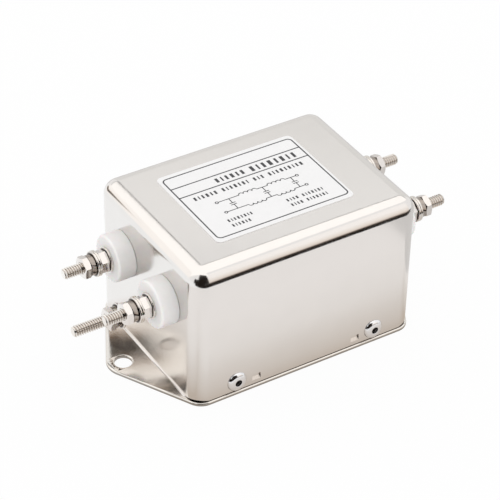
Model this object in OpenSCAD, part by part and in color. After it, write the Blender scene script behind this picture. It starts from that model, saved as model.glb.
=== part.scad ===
// Two-stage power-line filter in a drawn metal case, with bolt terminals.
// Millimetres. The origin is the middle of the mounting face, +Z is up, and X runs between the
// terminal ends, with the earth stud at the -X end.

/* [Cover] */
// Length of the cover, end wall to end wall
case_l = 86; // [84:1:120]
// Width of the cover, side wall to side wall
case_w = 64; // [60:1:80]
// Height from the mounting face to the top of the cover
case_h = 54; // [52:1:80]
// Sheet thickness of the cover
cover_t = 0.8; // [0.6:0.1:1.2]
// Outside radius of the upright corners
corner_r = 5.5; // [4.5:0.5:8]
// Outside radius of the bend round the top
bend_r = 5.5; // [2:0.5:5.5]
// Lift of the trimmed lower edge at the corners
corner_lift = 0.8; // [0.1:0.1:1]

/* [Mounting plate] */
// Thickness of the mounting plate
plate_t = 1.2; // [0.8:0.1:2]
// How far the plate's long edges stand out past the cover
plate_overhang = 0.5; // [0:0.1:1]
// Reach of each ear past the end wall
ear_reach = 14.5; // [14:0.5:24]
// Distance from the end wall to the middle of the mounting hole
hole_offset = 9; // [8:0.5:10]
// Diameter of the mounting holes
hole_d = 6; // [4:0.5:7]
// Radius of the ears' tips
ear_tip_r = 8; // [6:0.5:9]
// Radius of the plate's shoulders
shoulder_r = 6; // [4:0.5:8]
// Distance from the end wall to the middle of a shoulder
shoulder_inset = 5.5; // [5:0.5:8]

/* [Base pan] */
// Sheet thickness of the pan
pan_t = 1; // [0.8:0.1:1.5]
// Height of the pan's flanges above the mounting plate
flange_h = 10; // [9:0.5:14]
// Inside radius of the pan's folds
fold_r = 0.5; // [0.3:0.1:1.5]
// Distance from the end wall to the end of the pan
pan_inset = 5; // [4.5:0.5:6]
// Play between the pan's flanges and the cover
pan_fit = 0.1; // [0.05:0.05:0.2]
// Thickness of the insulating sheet on the pan
sheet_t = 0.4; // [0.2:0.1:1]

/* [Rivets and locks] */
// Distance of the rivets from the middle of the side
rivet_x = 27; // [25:0.5:32]
// Diameter of the rivet bodies
rivet_d = 4; // [3.2:0.2:4.4]
// Diameter of the rivet heads
rivet_head_d = 7.2; // [6:0.2:7.4]
// Height of the rivet heads
rivet_head_h = 1.4; // [1:0.1:2]
// Diameter of the mandrels
mandrel_d = 2.3; // [1.8:0.1:2.4]
// Distance of the pressed locks from the middle of the side
lock_x = 19.5; // [16:0.5:20]
// Height of the middle of the locks above the pan's floor
lock_up = 2; // [2:0.1:3.5]
// Length of the locks
lock_l = 3.2; // [2:0.1:4]
// Height of the locks
lock_h = 2.4; // [1.6:0.1:2.6]
// Depth to which the locks are pressed in
lock_depth = 0.5; // [0.3:0.1:0.6]

/* [Label] */
// Length of the label
label_l = 52.6; // [40:0.2:70]
// Width of the label
label_w = 40.6; // [30:0.2:50]
// Thickness of the label
label_t = 0.15; // [0.1:0.05:0.5]
// Radius of the label's corners
label_r = 2; // [0.5:0.5:4]
// Place of the label's middle along the cover
label_x = -1.2; // [-4:0.1:4]
// Place of the label's middle across the cover
label_y = 0.5; // [-3:0.1:3]

/* [Terminals] */
// Distance between the two terminals of one end
terminal_pitch = 28; // [24:1:32]
// Height of the terminals above the mounting face
terminal_z = 34; // [34:0.5:38]
// Reach of the terminal screws past the end wall
terminal_reach = 23; // [21:0.5:35]
// Thread diameter of all screws
screw_d = 4; // [3:0.5:4.5]
// Pitch of that thread
thread_pitch = 0.7; // [0.5:0.05:0.8]
// Diameter of the outer bushings
bushing_d = 16.6; // [14:0.2:18]
// Height of the outer bushings
bushing_h = 6.5; // [5:0.5:8]
// Radius of the bushings' front edges
bushing_edge_r = 0.9; // [0.3:0.1:1.5]
// Diameter of the bushings' spigots
spigot_d = 10; // [8:0.5:12]
// Length of the spigots past the end wall's inside
spigot_grip = 1; // [0.5:0.1:2]
// Diameter of the inner bushings
inner_bushing_d = 15; // [14:0.5:16]
// Thickness of the inner bushings
inner_bushing_t = 3; // [2.5:0.1:3.5]

/* [Hardware] */
// Diameter of the flat washers
washer_d = 9; // [8:0.5:10]
// Thickness of the flat washers
washer_t = 0.8; // [0.5:0.1:1]
// Outside diameter of the spring washers
spring_d = 7.6; // [7:0.1:9]
// Thickness of the spring washers
spring_t = 1.1; // [0.8:0.1:1.4]
// Width of the slit in the spring washers
slit_w = 0.8; // [0.4:0.1:1.2]
// Lean of that slit
slit_lean = 25; // [0:5:35]
// Width across flats of the nuts and screw heads
nut_af = 7; // [7:0.5:9]
// Height of the nuts
nut_h = 3.2; // [2.4:0.1:4]
// Height of the screw heads
head_h = 2.8; // [2:0.1:3]
// Thickness of the solder lugs
lug_t = 0.6; // [0.4:0.1:0.8]

/* [Earth stud] */
// Height of the earth stud above the mounting face
earth_z = 21.4; // [20.5:0.1:22.5]
// Reach of the earth stud past the end wall
earth_reach = 27.3; // [24:0.1:40]
// Bare thread between the earth stud's jam nut and its clamping washer
earth_slack = 5.8; // [1:0.1:8]

/* [Chokes] */
// Outside diameter of the ring cores
core_od = 32; // [28:0.5:33]
// Inside diameter of the ring cores
core_bore_d = 19; // [17:0.5:21]
// Height of the ring cores
core_h = 13; // [10:0.5:14]
// Radius of the cores' edges
core_edge_r = 1.5; // [1:0.1:2.5]
// Diameter of the winding wire
wire_d = 1.8; // [1.2:0.1:1.9]
// Turns in each winding
turns = 9; // [5:1:9]
// Angle of the core that one winding covers
winding_span = 150; // [140:2:156]
// Gap between the two chokes
choke_gap = 1.2; // [0.6:0.1:2]

/* [Component board] */
// Thickness of the component board
board_t = 1.6; // [1:0.1:2]
// Free height between the windings and the board
board_gap = 1.5; // [1:0.1:2]
// Diameter of the board's posts
post_d = 6.5; // [5:0.5:7]
// Distance of the posts from the middle, along the case
post_x = 9; // [7:0.5:10]
// Distance of the posts from the middle, across the case
post_y = 21.5; // [21.5:0.1:22]
// Length of the line capacitors
x_cap_l = 17.5; // [15:0.5:19]
// Width of the line capacitors
x_cap_w = 7.5; // [6:0.5:8]
// Height of the line capacitors
x_cap_h = 13.5; // [10:0.5:18]
// Lead spacing of the line capacitors
x_cap_pitch = 15; // [10:0.5:15]
// Diameter of the earth capacitors
y_cap_d = 10; // [7:0.5:11]
// Thickness of the earth capacitors
y_cap_t = 4; // [3:0.5:5]
// Lead spacing of the earth capacitors
y_cap_pitch = 5; // [5:0.5:7.5]
// Distance of the earth capacitors from the middle, across the case
y_cap_y = 15; // [13:0.5:15]
// Diameter of the bleed resistor
resistor_d = 3.2; // [2.4:0.1:4]
// Length of the bleed resistor's body
resistor_l = 9; // [6:0.5:10]
// Lead spacing of the bleed resistor
resistor_pitch = 15; // [14:0.5:16]
// Distance of the bleed resistor from the middle, along the case
resistor_x = 9.5; // [8:0.5:11]
// Diameter of the connecting wires between the lugs and the board
link_d = 1.8; // [1:0.1:2]

/* [Hidden] */
$fn = 96;

// Colours
nickel = [0.80, 0.78, 0.75];
bright_steel = [0.70, 0.70, 0.70];
rivet_grey = [0.78, 0.78, 0.79];
nylon_white = [0.93, 0.93, 0.92];
label_white = [0.96, 0.96, 0.97];
fibre_grey = [0.45, 0.47, 0.48];
ferrite = [0.18, 0.30, 0.22];
copper = [0.72, 0.40, 0.20];
board_green = [0.30, 0.42, 0.22];
cap_yellow = [0.90, 0.75, 0.20];
disc_blue = [0.20, 0.38, 0.65];
resistor_tan = [0.76, 0.66, 0.48];
earth_green = [0.35, 0.62, 0.20];

// Screws: a clamped thread is drawn at its pitch diameter, a free one at its full diameter
pitch_depth_share = 0.65;
engaged_d = screw_d - pitch_depth_share * thread_pitch;
point_h = screw_d / 8;
hex_land_share = 0.97;
hex_chamfer = 30;

// Clearances and small shared sizes; cut_over is the reach of a cutter past the cut faces
eps = 0.01;
cut_over = 1;
thread_play = 0.1;
washer_play = 0.3;
bore_play = 0.3;
spigot_play = 0.2;
lead_play = 0.4;
lock_play = 0.2;
lock_wall = 0.3;
pair_gap = 0.02;
wind_play = 0.3;
rest_play = 0.1;
lead_d = 0.8;
lead_stub = 1.2;

// Cover and pan
cover_h = case_h - plate_t;
end_x = case_l / 2;
side_y = case_w / 2;
plate_y = side_y + plate_overhang;
top_bend_r = min(bend_r, corner_r);
pan_half_l = end_x - pan_inset;
flange_y = side_y - cover_t - pan_fit;
pan_top = plate_t + pan_t;
sheet_top = pan_top + sheet_t;

// Rivets
rivet_grip = cover_t + pan_fit + pan_t;
bulb_swell = 0.8;
bulb_d = rivet_d + bulb_swell;
bulb_l = 3;
mandrel_head_d = mandrel_d * 1.5;
mandrel_head_h = 1.2;
mandrel_recess = 0.8;
rivet_tail = rivet_grip + bulb_l + mandrel_head_h;
rivet_z = pan_top + fold_r + bulb_d / 2 + rest_play;
lock_z = pan_top + lock_up;
sheet_side_gap = 0.4;
sheet_end_gap = 1;
sheet_half_w = side_y - rivet_tail - sheet_side_gap;

// Places along a terminal's axis, from the outside of the end wall
seat_at = bushing_h;
jam_at = seat_at + washer_t;
clamp_at = jam_at + nut_h;
clamp_count = 2;
clamp_step = washer_t + pair_gap;
spring_at = clamp_at + clamp_count * clamp_step;
nut_at = spring_at + spring_t;
lug_at = -cover_t - inner_bushing_t - lug_t;

// Places along the earth stud's axis, from the outside of the end wall
earth_jam_at = washer_t;
earth_clamp_at = earth_jam_at + nut_h + earth_slack;
earth_spring_at = earth_clamp_at + washer_t;
earth_nut_at = earth_spring_at + spring_t;
earth_lug_at = -cover_t - lug_t;

// Solder lugs
lug_wall = 1.5;
lug_eye_wall = 2.2;
lug_clear = 1.1;
lug_eye_r = screw_d / 2 + lug_eye_wall;
lug_hole_at = inner_bushing_d / 2 + link_d / 2 + lug_clear;
lug_tail_w = link_d + 2 * lug_wall;
lug_tail_l = lug_hole_at + link_d / 2 + lug_wall;

// Chokes
core_ro = core_od / 2;
core_ri = core_bore_d / 2;
core_z = sheet_top + rest_play + wire_d + wind_play + core_h / 2;
wire_out_r = core_ro + wind_play + wire_d / 2;
wire_in_r = core_ri - wind_play - wire_d / 2;
choke_x = core_ro + wind_play + wire_d + choke_gap / 2;
wire_sides = 8;
corner_steps = 3;

// Component board
board_z = core_z + core_h / 2 + wind_play + wire_d + board_gap;
board_top = board_z + board_t;
board_end_gap = 1;
board_side_gap = 2;
board_half_l = end_x + lug_at - head_h - board_end_gap;
board_half_w = flange_y - pan_t - board_side_gap;
link_edge = 1.4;
link_x = board_half_l - link_d / 2 - link_edge;
link_bend_r = 3;
x_cap_gap = 0.85;
x_cap_x = link_x - link_d / 2 - x_cap_gap - x_cap_w / 2;
x_cap_edge_r = 0.8;
lead_in = 1;
disc_lift = 1;
post_pin_d = 3;
post_head_d = 5;
post_head_h = 1.2;
resistor_lift = 0.5;
resistor_waist_share = 0.86;
resistor_bend_r = 1.2;
resistor_z = board_top + resistor_d / 2 + resistor_lift;

// The four terminals: [end, side], with the near -Y side first
TERMINALS = [[-1, -1], [-1, 1], [1, -1], [1, 1]];
WINDING_NAMES = ["a", "b"];

// Stand a child, whose axis is local +Z, on the outside of an end wall
module on_end(end, y, z) {
    rotate([0, 0, end < 0 ? 180 : 0])
        translate([end_x, end * y, z]) rotate([0, 90, 0]) children();
}

module at_terminal(i) {
    on_end(TERMINALS[i][0], TERMINALS[i][1] * terminal_pitch / 2, terminal_z) children();
}

module at_earth() {
    on_end(-1, 0, earth_z) children();
}

// Repeat a child on both long sides, local +Z outwards, at +x and -x
module on_sides(x, z) {
    for (turn = [0, 180]) for (place = [-x, x])
        rotate([0, 0, turn]) translate([place, side_y, z]) rotate([-90, 0, 0]) children();
}

module rounded_rect(l, w, r) {
    square([l - 2 * r, w], center = true);
    square([l, w - 2 * r], center = true);
    for (sx = [-1, 1], sy = [-1, 1])
        translate([sx * (l / 2 - r), sy * (w / 2 - r)]) circle(r);
}

module ring(od, id, h) {
    difference() {
        cylinder(d = od, h = h);
        translate([0, 0, -cut_over]) cylinder(d = id, h = h + 2 * cut_over);
    }
}

// Section under the top bend: x runs out from the corner's axis, y is height
module bend_section(out, h, bend, foot = 0) {
    translate([0, foot]) square([out, h - bend - foot]);
    translate([0, h - bend - eps]) square([max(out - bend, eps), bend + eps]);
    translate([out - bend, h - bend]) intersection() {
        circle(bend);
        square(bend);
    }
}

// Wall section of the cover, carried along the sides and turned round the corners
module cover_section(lift = 0) {
    difference() {
        bend_section(corner_r, cover_h, top_bend_r, lift);
        translate([0, -cut_over])
            bend_section(corner_r - cover_t, cover_h - cover_t + cut_over, top_bend_r - cover_t);
    }
}

module cover_shell() {
    run_l = case_l - 2 * corner_r;
    run_w = case_w - 2 * corner_r;
    translate([0, 0, plate_t]) {
        for (turn = [0, 180]) rotate([0, 0, turn]) {
            translate([-run_l / 2, run_w / 2, 0]) rotate([90, 0, 90])
                linear_extrude(run_l) cover_section();
            translate([run_l / 2, run_w / 2, 0]) rotate([90, 0, 0])
                linear_extrude(run_w) cover_section();
            translate([run_l / 2, run_w / 2, 0])
                rotate_extrude(angle = 90) cover_section(corner_lift);
            translate([-run_l / 2, run_w / 2, 0]) rotate([0, 0, 90])
                rotate_extrude(angle = 90) cover_section(corner_lift);
        }
        translate([-run_l / 2, -run_w / 2, cover_h - cover_t]) cube([run_l, run_w, cover_t]);
    }
}

module lock_block(grow, depth) {
    translate([-lock_l / 2 - grow, -lock_h / 2 - grow, 0])
        cube([lock_l + 2 * grow, lock_h + 2 * grow, depth]);
}

// Cutter through the cover's wall, which lies below the local origin
module wall_hole(d) {
    translate([0, 0, -cover_t - cut_over]) cylinder(d = d, h = cover_t + 2 * cut_over);
}

module cover() {
    color(nickel) difference() {
        union() {
            cover_shell();
            on_sides(lock_x, lock_z) translate([0, 0, -cover_t - lock_depth])
                lock_block(lock_wall, lock_depth + cover_t / 2);
        }
        on_sides(lock_x, lock_z) translate([0, 0, -lock_depth])
            lock_block(0, lock_depth + cut_over);
        on_sides(rivet_x, rivet_z) wall_hole(rivet_d + thread_play);
        for (i = [0:3]) at_terminal(i) wall_hole(spigot_d + spigot_play);
        at_earth() wall_hole(screw_d + bore_play);
    }
}

// Outline of the mounting plate: tangent lines between two ear tips and four shoulders
module plate_outline() {
    tip = [end_x + ear_reach - ear_tip_r, 0];
    shoulder = [end_x - shoulder_inset, plate_y - shoulder_r];
    run = shoulder - tip;
    lean = atan2(run[1], run[0]) - acos((ear_tip_r - shoulder_r) / norm(run));
    slope = [cos(lean), sin(lean)];
    tip_edge = tip + ear_tip_r * slope;
    shoulder_edge = shoulder + shoulder_r * slope;
    quarter = [tip_edge, shoulder_edge, [shoulder[0], plate_y]];
    polygon([
        for (k = [0:2]) quarter[k],
        for (k = [2:-1:0]) [-quarter[k][0], quarter[k][1]],
        for (k = [0:2]) -quarter[k],
        for (k = [2:-1:0]) [quarter[k][0], -quarter[k][1]]]);
    for (sx = [-1, 1]) {
        translate([sx * tip[0], 0]) circle(ear_tip_r);
        for (sy = [-1, 1]) translate([sx * shoulder[0], sy * shoulder[1]]) circle(shoulder_r);
    }
}

module mounting_plate() {
    color(nickel) difference() {
        linear_extrude(plate_t) plate_outline();
        for (sx = [-1, 1]) translate([sx * (end_x + hole_offset), 0, -cut_over])
            cylinder(d = hole_d, h = plate_t + 2 * cut_over);
    }
}

// Half of the pan's folded section: x runs across the case, y is height
module pan_half_section() {
    out_r = fold_r + pan_t;
    square([flange_y - out_r, pan_t]);
    translate([flange_y - pan_t, out_r]) square([pan_t, flange_h - out_r]);
    translate([flange_y - out_r, out_r]) intersection() {
        difference() {
            circle(out_r);
            circle(fold_r);
        }
        translate([0, -out_r]) square(out_r);
    }
}

module base_pan() {
    color(nickel) difference() {
        translate([-pan_half_l, 0, plate_t]) rotate([90, 0, 90]) linear_extrude(2 * pan_half_l) {
            pan_half_section();
            mirror([1, 0]) pan_half_section();
        }
        on_sides(rivet_x, rivet_z) translate([0, 0, -rivet_grip - cut_over])
            cylinder(d = rivet_d + thread_play, h = rivet_grip + cut_over);
        on_sides(lock_x, lock_z) translate([0, 0, -rivet_grip - cut_over])
            lock_block(lock_wall + lock_play, rivet_grip + cut_over);
        at_posts() cylinder(d = post_pin_d + thread_play, h = sheet_top + cut_over);
    }
}

module insulating_sheet() {
    color(fibre_grey) difference() {
        translate([-pan_half_l + sheet_end_gap, -sheet_half_w, pan_top])
            cube([2 * (pan_half_l - sheet_end_gap), 2 * sheet_half_w, sheet_t]);
        at_posts() cylinder(d = post_pin_d + thread_play, h = sheet_top + cut_over);
    }
}

// Blind rivet: domed head outside, body through both sheets and a set bulb behind them
module rivet() {
    dome_r = (pow(rivet_head_d / 2, 2) + pow(rivet_head_h, 2)) / (2 * rivet_head_h);
    bore_r = (mandrel_d + thread_play) / 2;
    rotate_extrude() difference() {
        union() {
            intersection() {
                translate([0, rivet_head_h - dome_r]) circle(dome_r);
                square([rivet_head_d / 2, rivet_head_h]);
            }
            translate([0, -rivet_grip]) square([rivet_d / 2, rivet_grip + eps]);
            translate([0, -rivet_grip - bulb_l]) square([bulb_d / 2, bulb_l]);
        }
        translate([0, -rivet_tail]) square([bore_r, 2 * rivet_tail]);
    }
}

module cover_rivets() {
    color(rivet_grey) on_sides(rivet_x, rivet_z) rivet();
}

module rivet_mandrels() {
    color(bright_steel) on_sides(rivet_x, rivet_z) {
        translate([0, 0, -rivet_grip - bulb_l - eps])
            cylinder(d = mandrel_d, h = rivet_grip + bulb_l + eps + rivet_head_h - mandrel_recess);
        translate([0, 0, -rivet_tail]) cylinder(d = mandrel_head_d, h = mandrel_head_h);
    }
}

module top_label() {
    color(label_white) translate([label_x, label_y, case_h])
        linear_extrude(label_t) rounded_rect(label_l, label_w, label_r);
}

// Half section of a bushing's flange with a rounded front edge
module flange_section(r, h, edge_r) {
    square([r - edge_r, h]);
    square([r, h - edge_r]);
    translate([r - edge_r, h - edge_r]) circle(edge_r);
}

module outer_bushing(i) {
    spigot_l = cover_t + spigot_grip;
    color(nylon_white) at_terminal(i) rotate_extrude() difference() {
        union() {
            flange_section(bushing_d / 2, bushing_h, bushing_edge_r);
            translate([0, -spigot_l]) square([spigot_d / 2, spigot_l + eps]);
        }
        translate([0, -spigot_l - cut_over])
            square([(screw_d + bore_play) / 2, bushing_h + spigot_l + 2 * cut_over]);
    }
}

module inner_bushing(i) {
    color(nylon_white) at_terminal(i) translate([0, 0, -cover_t - inner_bushing_t]) difference() {
        ring(inner_bushing_d, screw_d + bore_play, inner_bushing_t);
        translate([0, 0, inner_bushing_t - spigot_grip - rest_play])
            cylinder(d = spigot_d + spigot_play, h = spigot_grip + rest_play + cut_over);
    }
}

// Hexagon with turned chamfers, on one or both ends
module hex_body(h, both_ends = true) {
    tip_r = nut_af / 2 / cos(30);
    flat_r = nut_af / 2 * hex_land_share;
    drop = (tip_r - flat_r) * tan(hex_chamfer);
    foot = both_ends ? [[flat_r, 0], [tip_r, drop]] : [[tip_r, 0]];
    intersection() {
        rotate([0, 0, 30]) cylinder(r = tip_r, h = h, $fn = 6);
        rotate_extrude()
            polygon(concat([[0, 0]], foot, [[tip_r, h - drop], [flat_r, h], [0, h]]));
    }
}

module hex_nut() {
    difference() {
        hex_body(nut_h);
        translate([0, 0, -cut_over])
            cylinder(d = engaged_d + thread_play, h = nut_h + 2 * cut_over);
    }
}

// Hexagon screw: the head lies under head_at, the clamped thread runs to free_at and the free
// thread, at its full diameter, to the tip at reach
module hex_screw(head_at, free_at, reach) {
    translate([0, 0, head_at]) mirror([0, 0, 1]) hex_body(head_h, false);
    translate([0, 0, head_at - eps]) cylinder(d = engaged_d, h = free_at - head_at + 2 * eps);
    translate([0, 0, free_at]) cylinder(d = screw_d, h = reach - point_h - free_at);
    translate([0, 0, reach - point_h])
        cylinder(d1 = screw_d, d2 = screw_d - 2 * point_h, h = point_h);
}

module terminal_screw(i) {
    color(bright_steel) at_terminal(i)
        hex_screw(lug_at, nut_at + nut_h + pair_gap, terminal_reach);
}

module earth_screw() {
    slack_at = earth_jam_at + nut_h + pair_gap;
    color(bright_steel) at_earth() {
        hex_screw(earth_lug_at, earth_nut_at + nut_h + pair_gap, earth_reach);
        translate([0, 0, slack_at]) cylinder(d = screw_d, h = earth_clamp_at - pair_gap - slack_at);
    }
}

module flat_washer() {
    ring(washer_d, screw_d + washer_play, washer_t);
}

module spring_washer() {
    difference() {
        ring(spring_d, screw_d + washer_play, spring_t);
        translate([spring_d / 2, 0, spring_t / 2]) rotate([slit_lean, 0, 0])
            cube([spring_d, slit_w, 4 * spring_t], center = true);
    }
}

module seat_washers() {
    color(bright_steel) {
        for (i = [0:3]) at_terminal(i) translate([0, 0, seat_at]) flat_washer();
        at_earth() flat_washer();
    }
}

module jam_nuts() {
    color(bright_steel) {
        for (i = [0:3]) at_terminal(i) translate([0, 0, jam_at]) hex_nut();
        at_earth() translate([0, 0, earth_jam_at]) hex_nut();
    }
}

module clamp_washers() {
    color(bright_steel) {
        for (i = [0:3], k = [0:clamp_count - 1])
            at_terminal(i) translate([0, 0, clamp_at + k * clamp_step]) flat_washer();
        at_earth() translate([0, 0, earth_clamp_at]) flat_washer();
    }
}

module spring_washers() {
    color(bright_steel) {
        for (i = [0:3]) at_terminal(i) translate([0, 0, spring_at]) spring_washer();
        at_earth() translate([0, 0, earth_spring_at]) spring_washer();
    }
}

module terminal_nuts() {
    color(bright_steel) {
        for (i = [0:3]) at_terminal(i) translate([0, 0, nut_at]) hex_nut();
        at_earth() translate([0, 0, earth_nut_at]) hex_nut();
    }
}

// Solder lug: an eye on the screw and a tail that points up, with a hole for the wire
module lug() {
    linear_extrude(lug_t) difference() {
        union() {
            circle(lug_eye_r);
            translate([-lug_tail_l, -lug_tail_w / 2]) square([lug_tail_l, lug_tail_w]);
        }
        circle(d = screw_d + washer_play);
        translate([-lug_hole_at, 0]) circle(d = link_d + lead_play);
    }
}

module solder_lug(i) {
    color(bright_steel) at_terminal(i) translate([0, 0, lug_at]) lug();
}

module earth_lug() {
    color(bright_steel) at_earth() translate([0, 0, earth_lug_at]) lug();
}

function unit(v) = v / norm(v);

// Direction of a path at one of its points
function heading(path, i) =
    unit(path[min(i + 1, len(path) - 1)] - path[max(i - 1, 0)]);

// Ring of points round a path's point, turned so that its first axis lies along side
function tube_ring(centre, along, side, r) =
    let (u = unit(side - (side * along) * along), v = cross(along, u))
    [for (k = [0:wire_sides - 1])
        let (a = 360 * k / wire_sides) centre + r * (cos(a) * u + sin(a) * v)];

// Round wire along a path, with one side direction for each point
module tube(path, sides, r) {
    n = wire_sides;
    last = len(path) - 1;
    points = [for (i = [0:last]) each tube_ring(path[i], heading(path, i), sides[i], r)];
    walls = [for (i = [0:last - 1], k = [0:n - 1])
        let (a = i * n + k, b = i * n + (k + 1) % n)
        each [[a, a + n, b + n], [a, b + n, b]]];
    start = [for (k = [0:n - 1]) k];
    finish = [for (k = [n - 1:-1:0]) last * n + k];
    polyhedron(points, concat([start, finish], walls));
}

// Wire from a lug's hole, inwards along the case and then down through the board
module link(end, y, lug_x, z) {
    bend = [for (a = [0, 30, 60, 90])
        [link_x + link_bend_r * (1 - sin(a)), y, z - link_bend_r * (1 - cos(a))]];
    path = concat([[lug_x, y, z]], bend, [[link_x, y, board_z - lead_stub]]);
    placed = [for (p = path) [end * p[0], p[1], p[2]]];
    tube(placed, [for (p = placed) [0, 1, 0]], link_d / 2);
}

module line_wire(i) {
    color(copper) link(TERMINALS[i][0], TERMINALS[i][1] * terminal_pitch / 2,
        end_x + lug_at + lug_t / 2, terminal_z + lug_hole_at);
}

module earth_wire() {
    color(earth_green) link(-1, 0, end_x + earth_lug_at + lug_t / 2, earth_z + lug_hole_at);
}

module choke_core(end) {
    color(ferrite) translate([end * choke_x, 0, core_z]) rotate_extrude()
        translate([(core_ro + core_ri) / 2, 0])
            rounded_rect(core_ro - core_ri, core_h, core_edge_r);
}

// One turn round the core's section, in [radius, height]: down outside, in below, up the bore
function turn_point(k) =
    let (
        q = floor(k / corner_steps) % 4,
        a = -90 * q - 90 * (k % corner_steps) / (corner_steps - 1),
        bend = core_edge_r + wind_play + wire_d / 2,
        half_w = (wire_out_r - wire_in_r) / 2 - bend,
        half_h = core_h / 2 + wind_play + wire_d / 2 - bend)
    [(wire_out_r + wire_in_r) / 2 + (q == 0 || q == 3 ? half_w : -half_w) + bend * cos(a),
        (q < 2 ? -half_h : half_h) + bend * sin(a)];

// Where the two leads of a winding rise, seen from the core's axis
function lead_angle(w, last) = 180 * w + (last ? winding_span / 2 : -winding_span / 2);
function polar(r, a, z) = [r * cos(a), r * sin(a), z];

module winding(end, w) {
    count = 4 * corner_steps * turns - 2 * corner_steps;
    lead_z = board_top + lead_stub - core_z;
    first = lead_angle(w, false);
    angles = [for (k = [0:count - 1]) first + winding_span * k / (count - 1)];
    coil = [for (k = [0:count - 1]) polar(turn_point(k)[0], angles[k], turn_point(k)[1])];
    path = concat([polar(wire_out_r, first, lead_z)], coil,
        [polar(wire_in_r, lead_angle(w, true), lead_z)]);
    turned = concat([first], angles, [lead_angle(w, true)]);
    color(copper) translate([end * choke_x, 0, core_z])
        tube(path, [for (a = turned) [-sin(a), cos(a), 0]], wire_d / 2);
}

module at_posts() {
    for (sx = [-1, 1], sy = [-1, 1]) translate([sx * post_x, sy * post_y, 0]) children();
}

module board_posts() {
    color(nylon_white) at_posts() {
        translate([0, 0, plate_t + eps]) cylinder(d = post_pin_d, h = board_top - plate_t);
        translate([0, 0, sheet_top]) cylinder(d = post_d, h = board_z - sheet_top);
        translate([0, 0, board_top]) cylinder(d = post_head_d, h = post_head_h);
    }
}

module board_hole(x, y, d, play = lead_play) {
    translate([x, y, board_z - cut_over]) cylinder(d = d + play, h = board_t + 2 * cut_over);
}

module component_board() {
    color(board_green) difference() {
        translate([-board_half_l, -board_half_w, board_z])
            cube([2 * board_half_l, 2 * board_half_w, board_t]);
        at_posts() board_hole(0, 0, post_pin_d, thread_play);
        for (end = [-1, 1], w = [0, 1]) translate([end * choke_x, 0, 0]) {
            rotate([0, 0, lead_angle(w, false)]) board_hole(wire_out_r, 0, wire_d);
            rotate([0, 0, lead_angle(w, true)]) board_hole(wire_in_r, 0, wire_d);
        }
        for (t = TERMINALS) board_hole(t[0] * link_x, t[1] * terminal_pitch / 2, link_d);
        board_hole(-link_x, 0, link_d);
        for (place = [-1:1], s = [-1, 1]) board_hole(place * x_cap_x, s * x_cap_pitch / 2, lead_d);
        for (side = [-1, 1], s = [-1, 1]) board_hole(s * y_cap_pitch / 2, side * y_cap_y, lead_d);
        for (s = [-1, 1]) board_hole(resistor_x, s * resistor_pitch / 2, lead_d);
    }
}

// Straight lead from a component down through the board
module board_lead(x, y, from_z) {
    translate([x, y, board_z - lead_stub]) cylinder(d = lead_d, h = from_z - board_z + lead_stub);
}

module x_capacitor(place) {
    color(cap_yellow) {
        translate([place * x_cap_x, 0, board_top])
            linear_extrude(x_cap_h) rounded_rect(x_cap_w, x_cap_l, x_cap_edge_r);
        for (s = [-1, 1]) board_lead(place * x_cap_x, s * x_cap_pitch / 2, board_top + lead_in);
    }
}

module y_capacitor(side) {
    disc_z = board_top + y_cap_d / 2 + disc_lift;
    edge_r = y_cap_t / 4;
    color(disc_blue) {
        translate([0, side * y_cap_y, disc_z]) rotate([90, 0, 0]) rotate_extrude()
            intersection() {
                rounded_rect(y_cap_d, y_cap_t, edge_r);
                translate([0, -y_cap_t]) square([y_cap_d, 2 * y_cap_t]);
            }
        for (s = [-1, 1]) board_lead(s * y_cap_pitch / 2, side * y_cap_y, disc_z);
    }
}

module bleed_resistor() {
    bend = resistor_bend_r;
    cap_l = resistor_l / 5;
    half_l = resistor_l / 2;
    reach = resistor_pitch / 2 - bend;
    color(resistor_tan) translate([resistor_x, 0, resistor_z])
        for (turn = [0, 180]) rotate([0, 0, turn]) {
            rotate([-90, 0, 0]) {
                cylinder(d = resistor_d * resistor_waist_share, h = half_l - cap_l / 2);
                translate([0, 0, half_l - cap_l]) cylinder(d = resistor_d, h = cap_l);
                cylinder(d = lead_d, h = reach);
            }
            translate([0, reach, -bend]) rotate([90, 0, 90]) rotate_extrude(angle = 90)
                translate([bend, 0]) circle(d = lead_d);
            translate([0, reach + bend, board_z - lead_stub - resistor_z])
                cylinder(d = lead_d, h = resistor_z - board_z + lead_stub - bend);
        }
}

cover();
mounting_plate();
base_pan();
cover_rivets();
rivet_mandrels();
top_label();
for (i = [0:3]) {
    outer_bushing(i);
    inner_bushing(i);
    terminal_screw(i);
    solder_lug(i);
    line_wire(i);
}
seat_washers();
jam_nuts();
clamp_washers();
spring_washers();
terminal_nuts();
earth_screw();
earth_lug();
earth_wire();
insulating_sheet();
for (c = [0, 1]) {
    choke_core(2 * c - 1);
    for (w = [0, 1])
        winding(2 * c - 1, w);
}
component_board();
board_posts();
for (place = [-1:1])
    x_capacitor(place);
for (k = [0, 1])
    y_capacitor(2 * k - 1);
bleed_resistor();
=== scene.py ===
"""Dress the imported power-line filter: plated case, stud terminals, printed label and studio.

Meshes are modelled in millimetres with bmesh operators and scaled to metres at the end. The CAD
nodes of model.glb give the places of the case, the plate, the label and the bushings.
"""
import logging
import math
from dataclasses import dataclass, field
from enum import Enum
from functools import cache, partial
from typing import Iterable, Sequence

import bmesh
import bpy
from bmesh.types import BMEdge, BMesh, BMFace, BMVert
from bpy.types import Material, Node, NodeSocket, Object
from mathutils import Matrix, Vector


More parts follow.
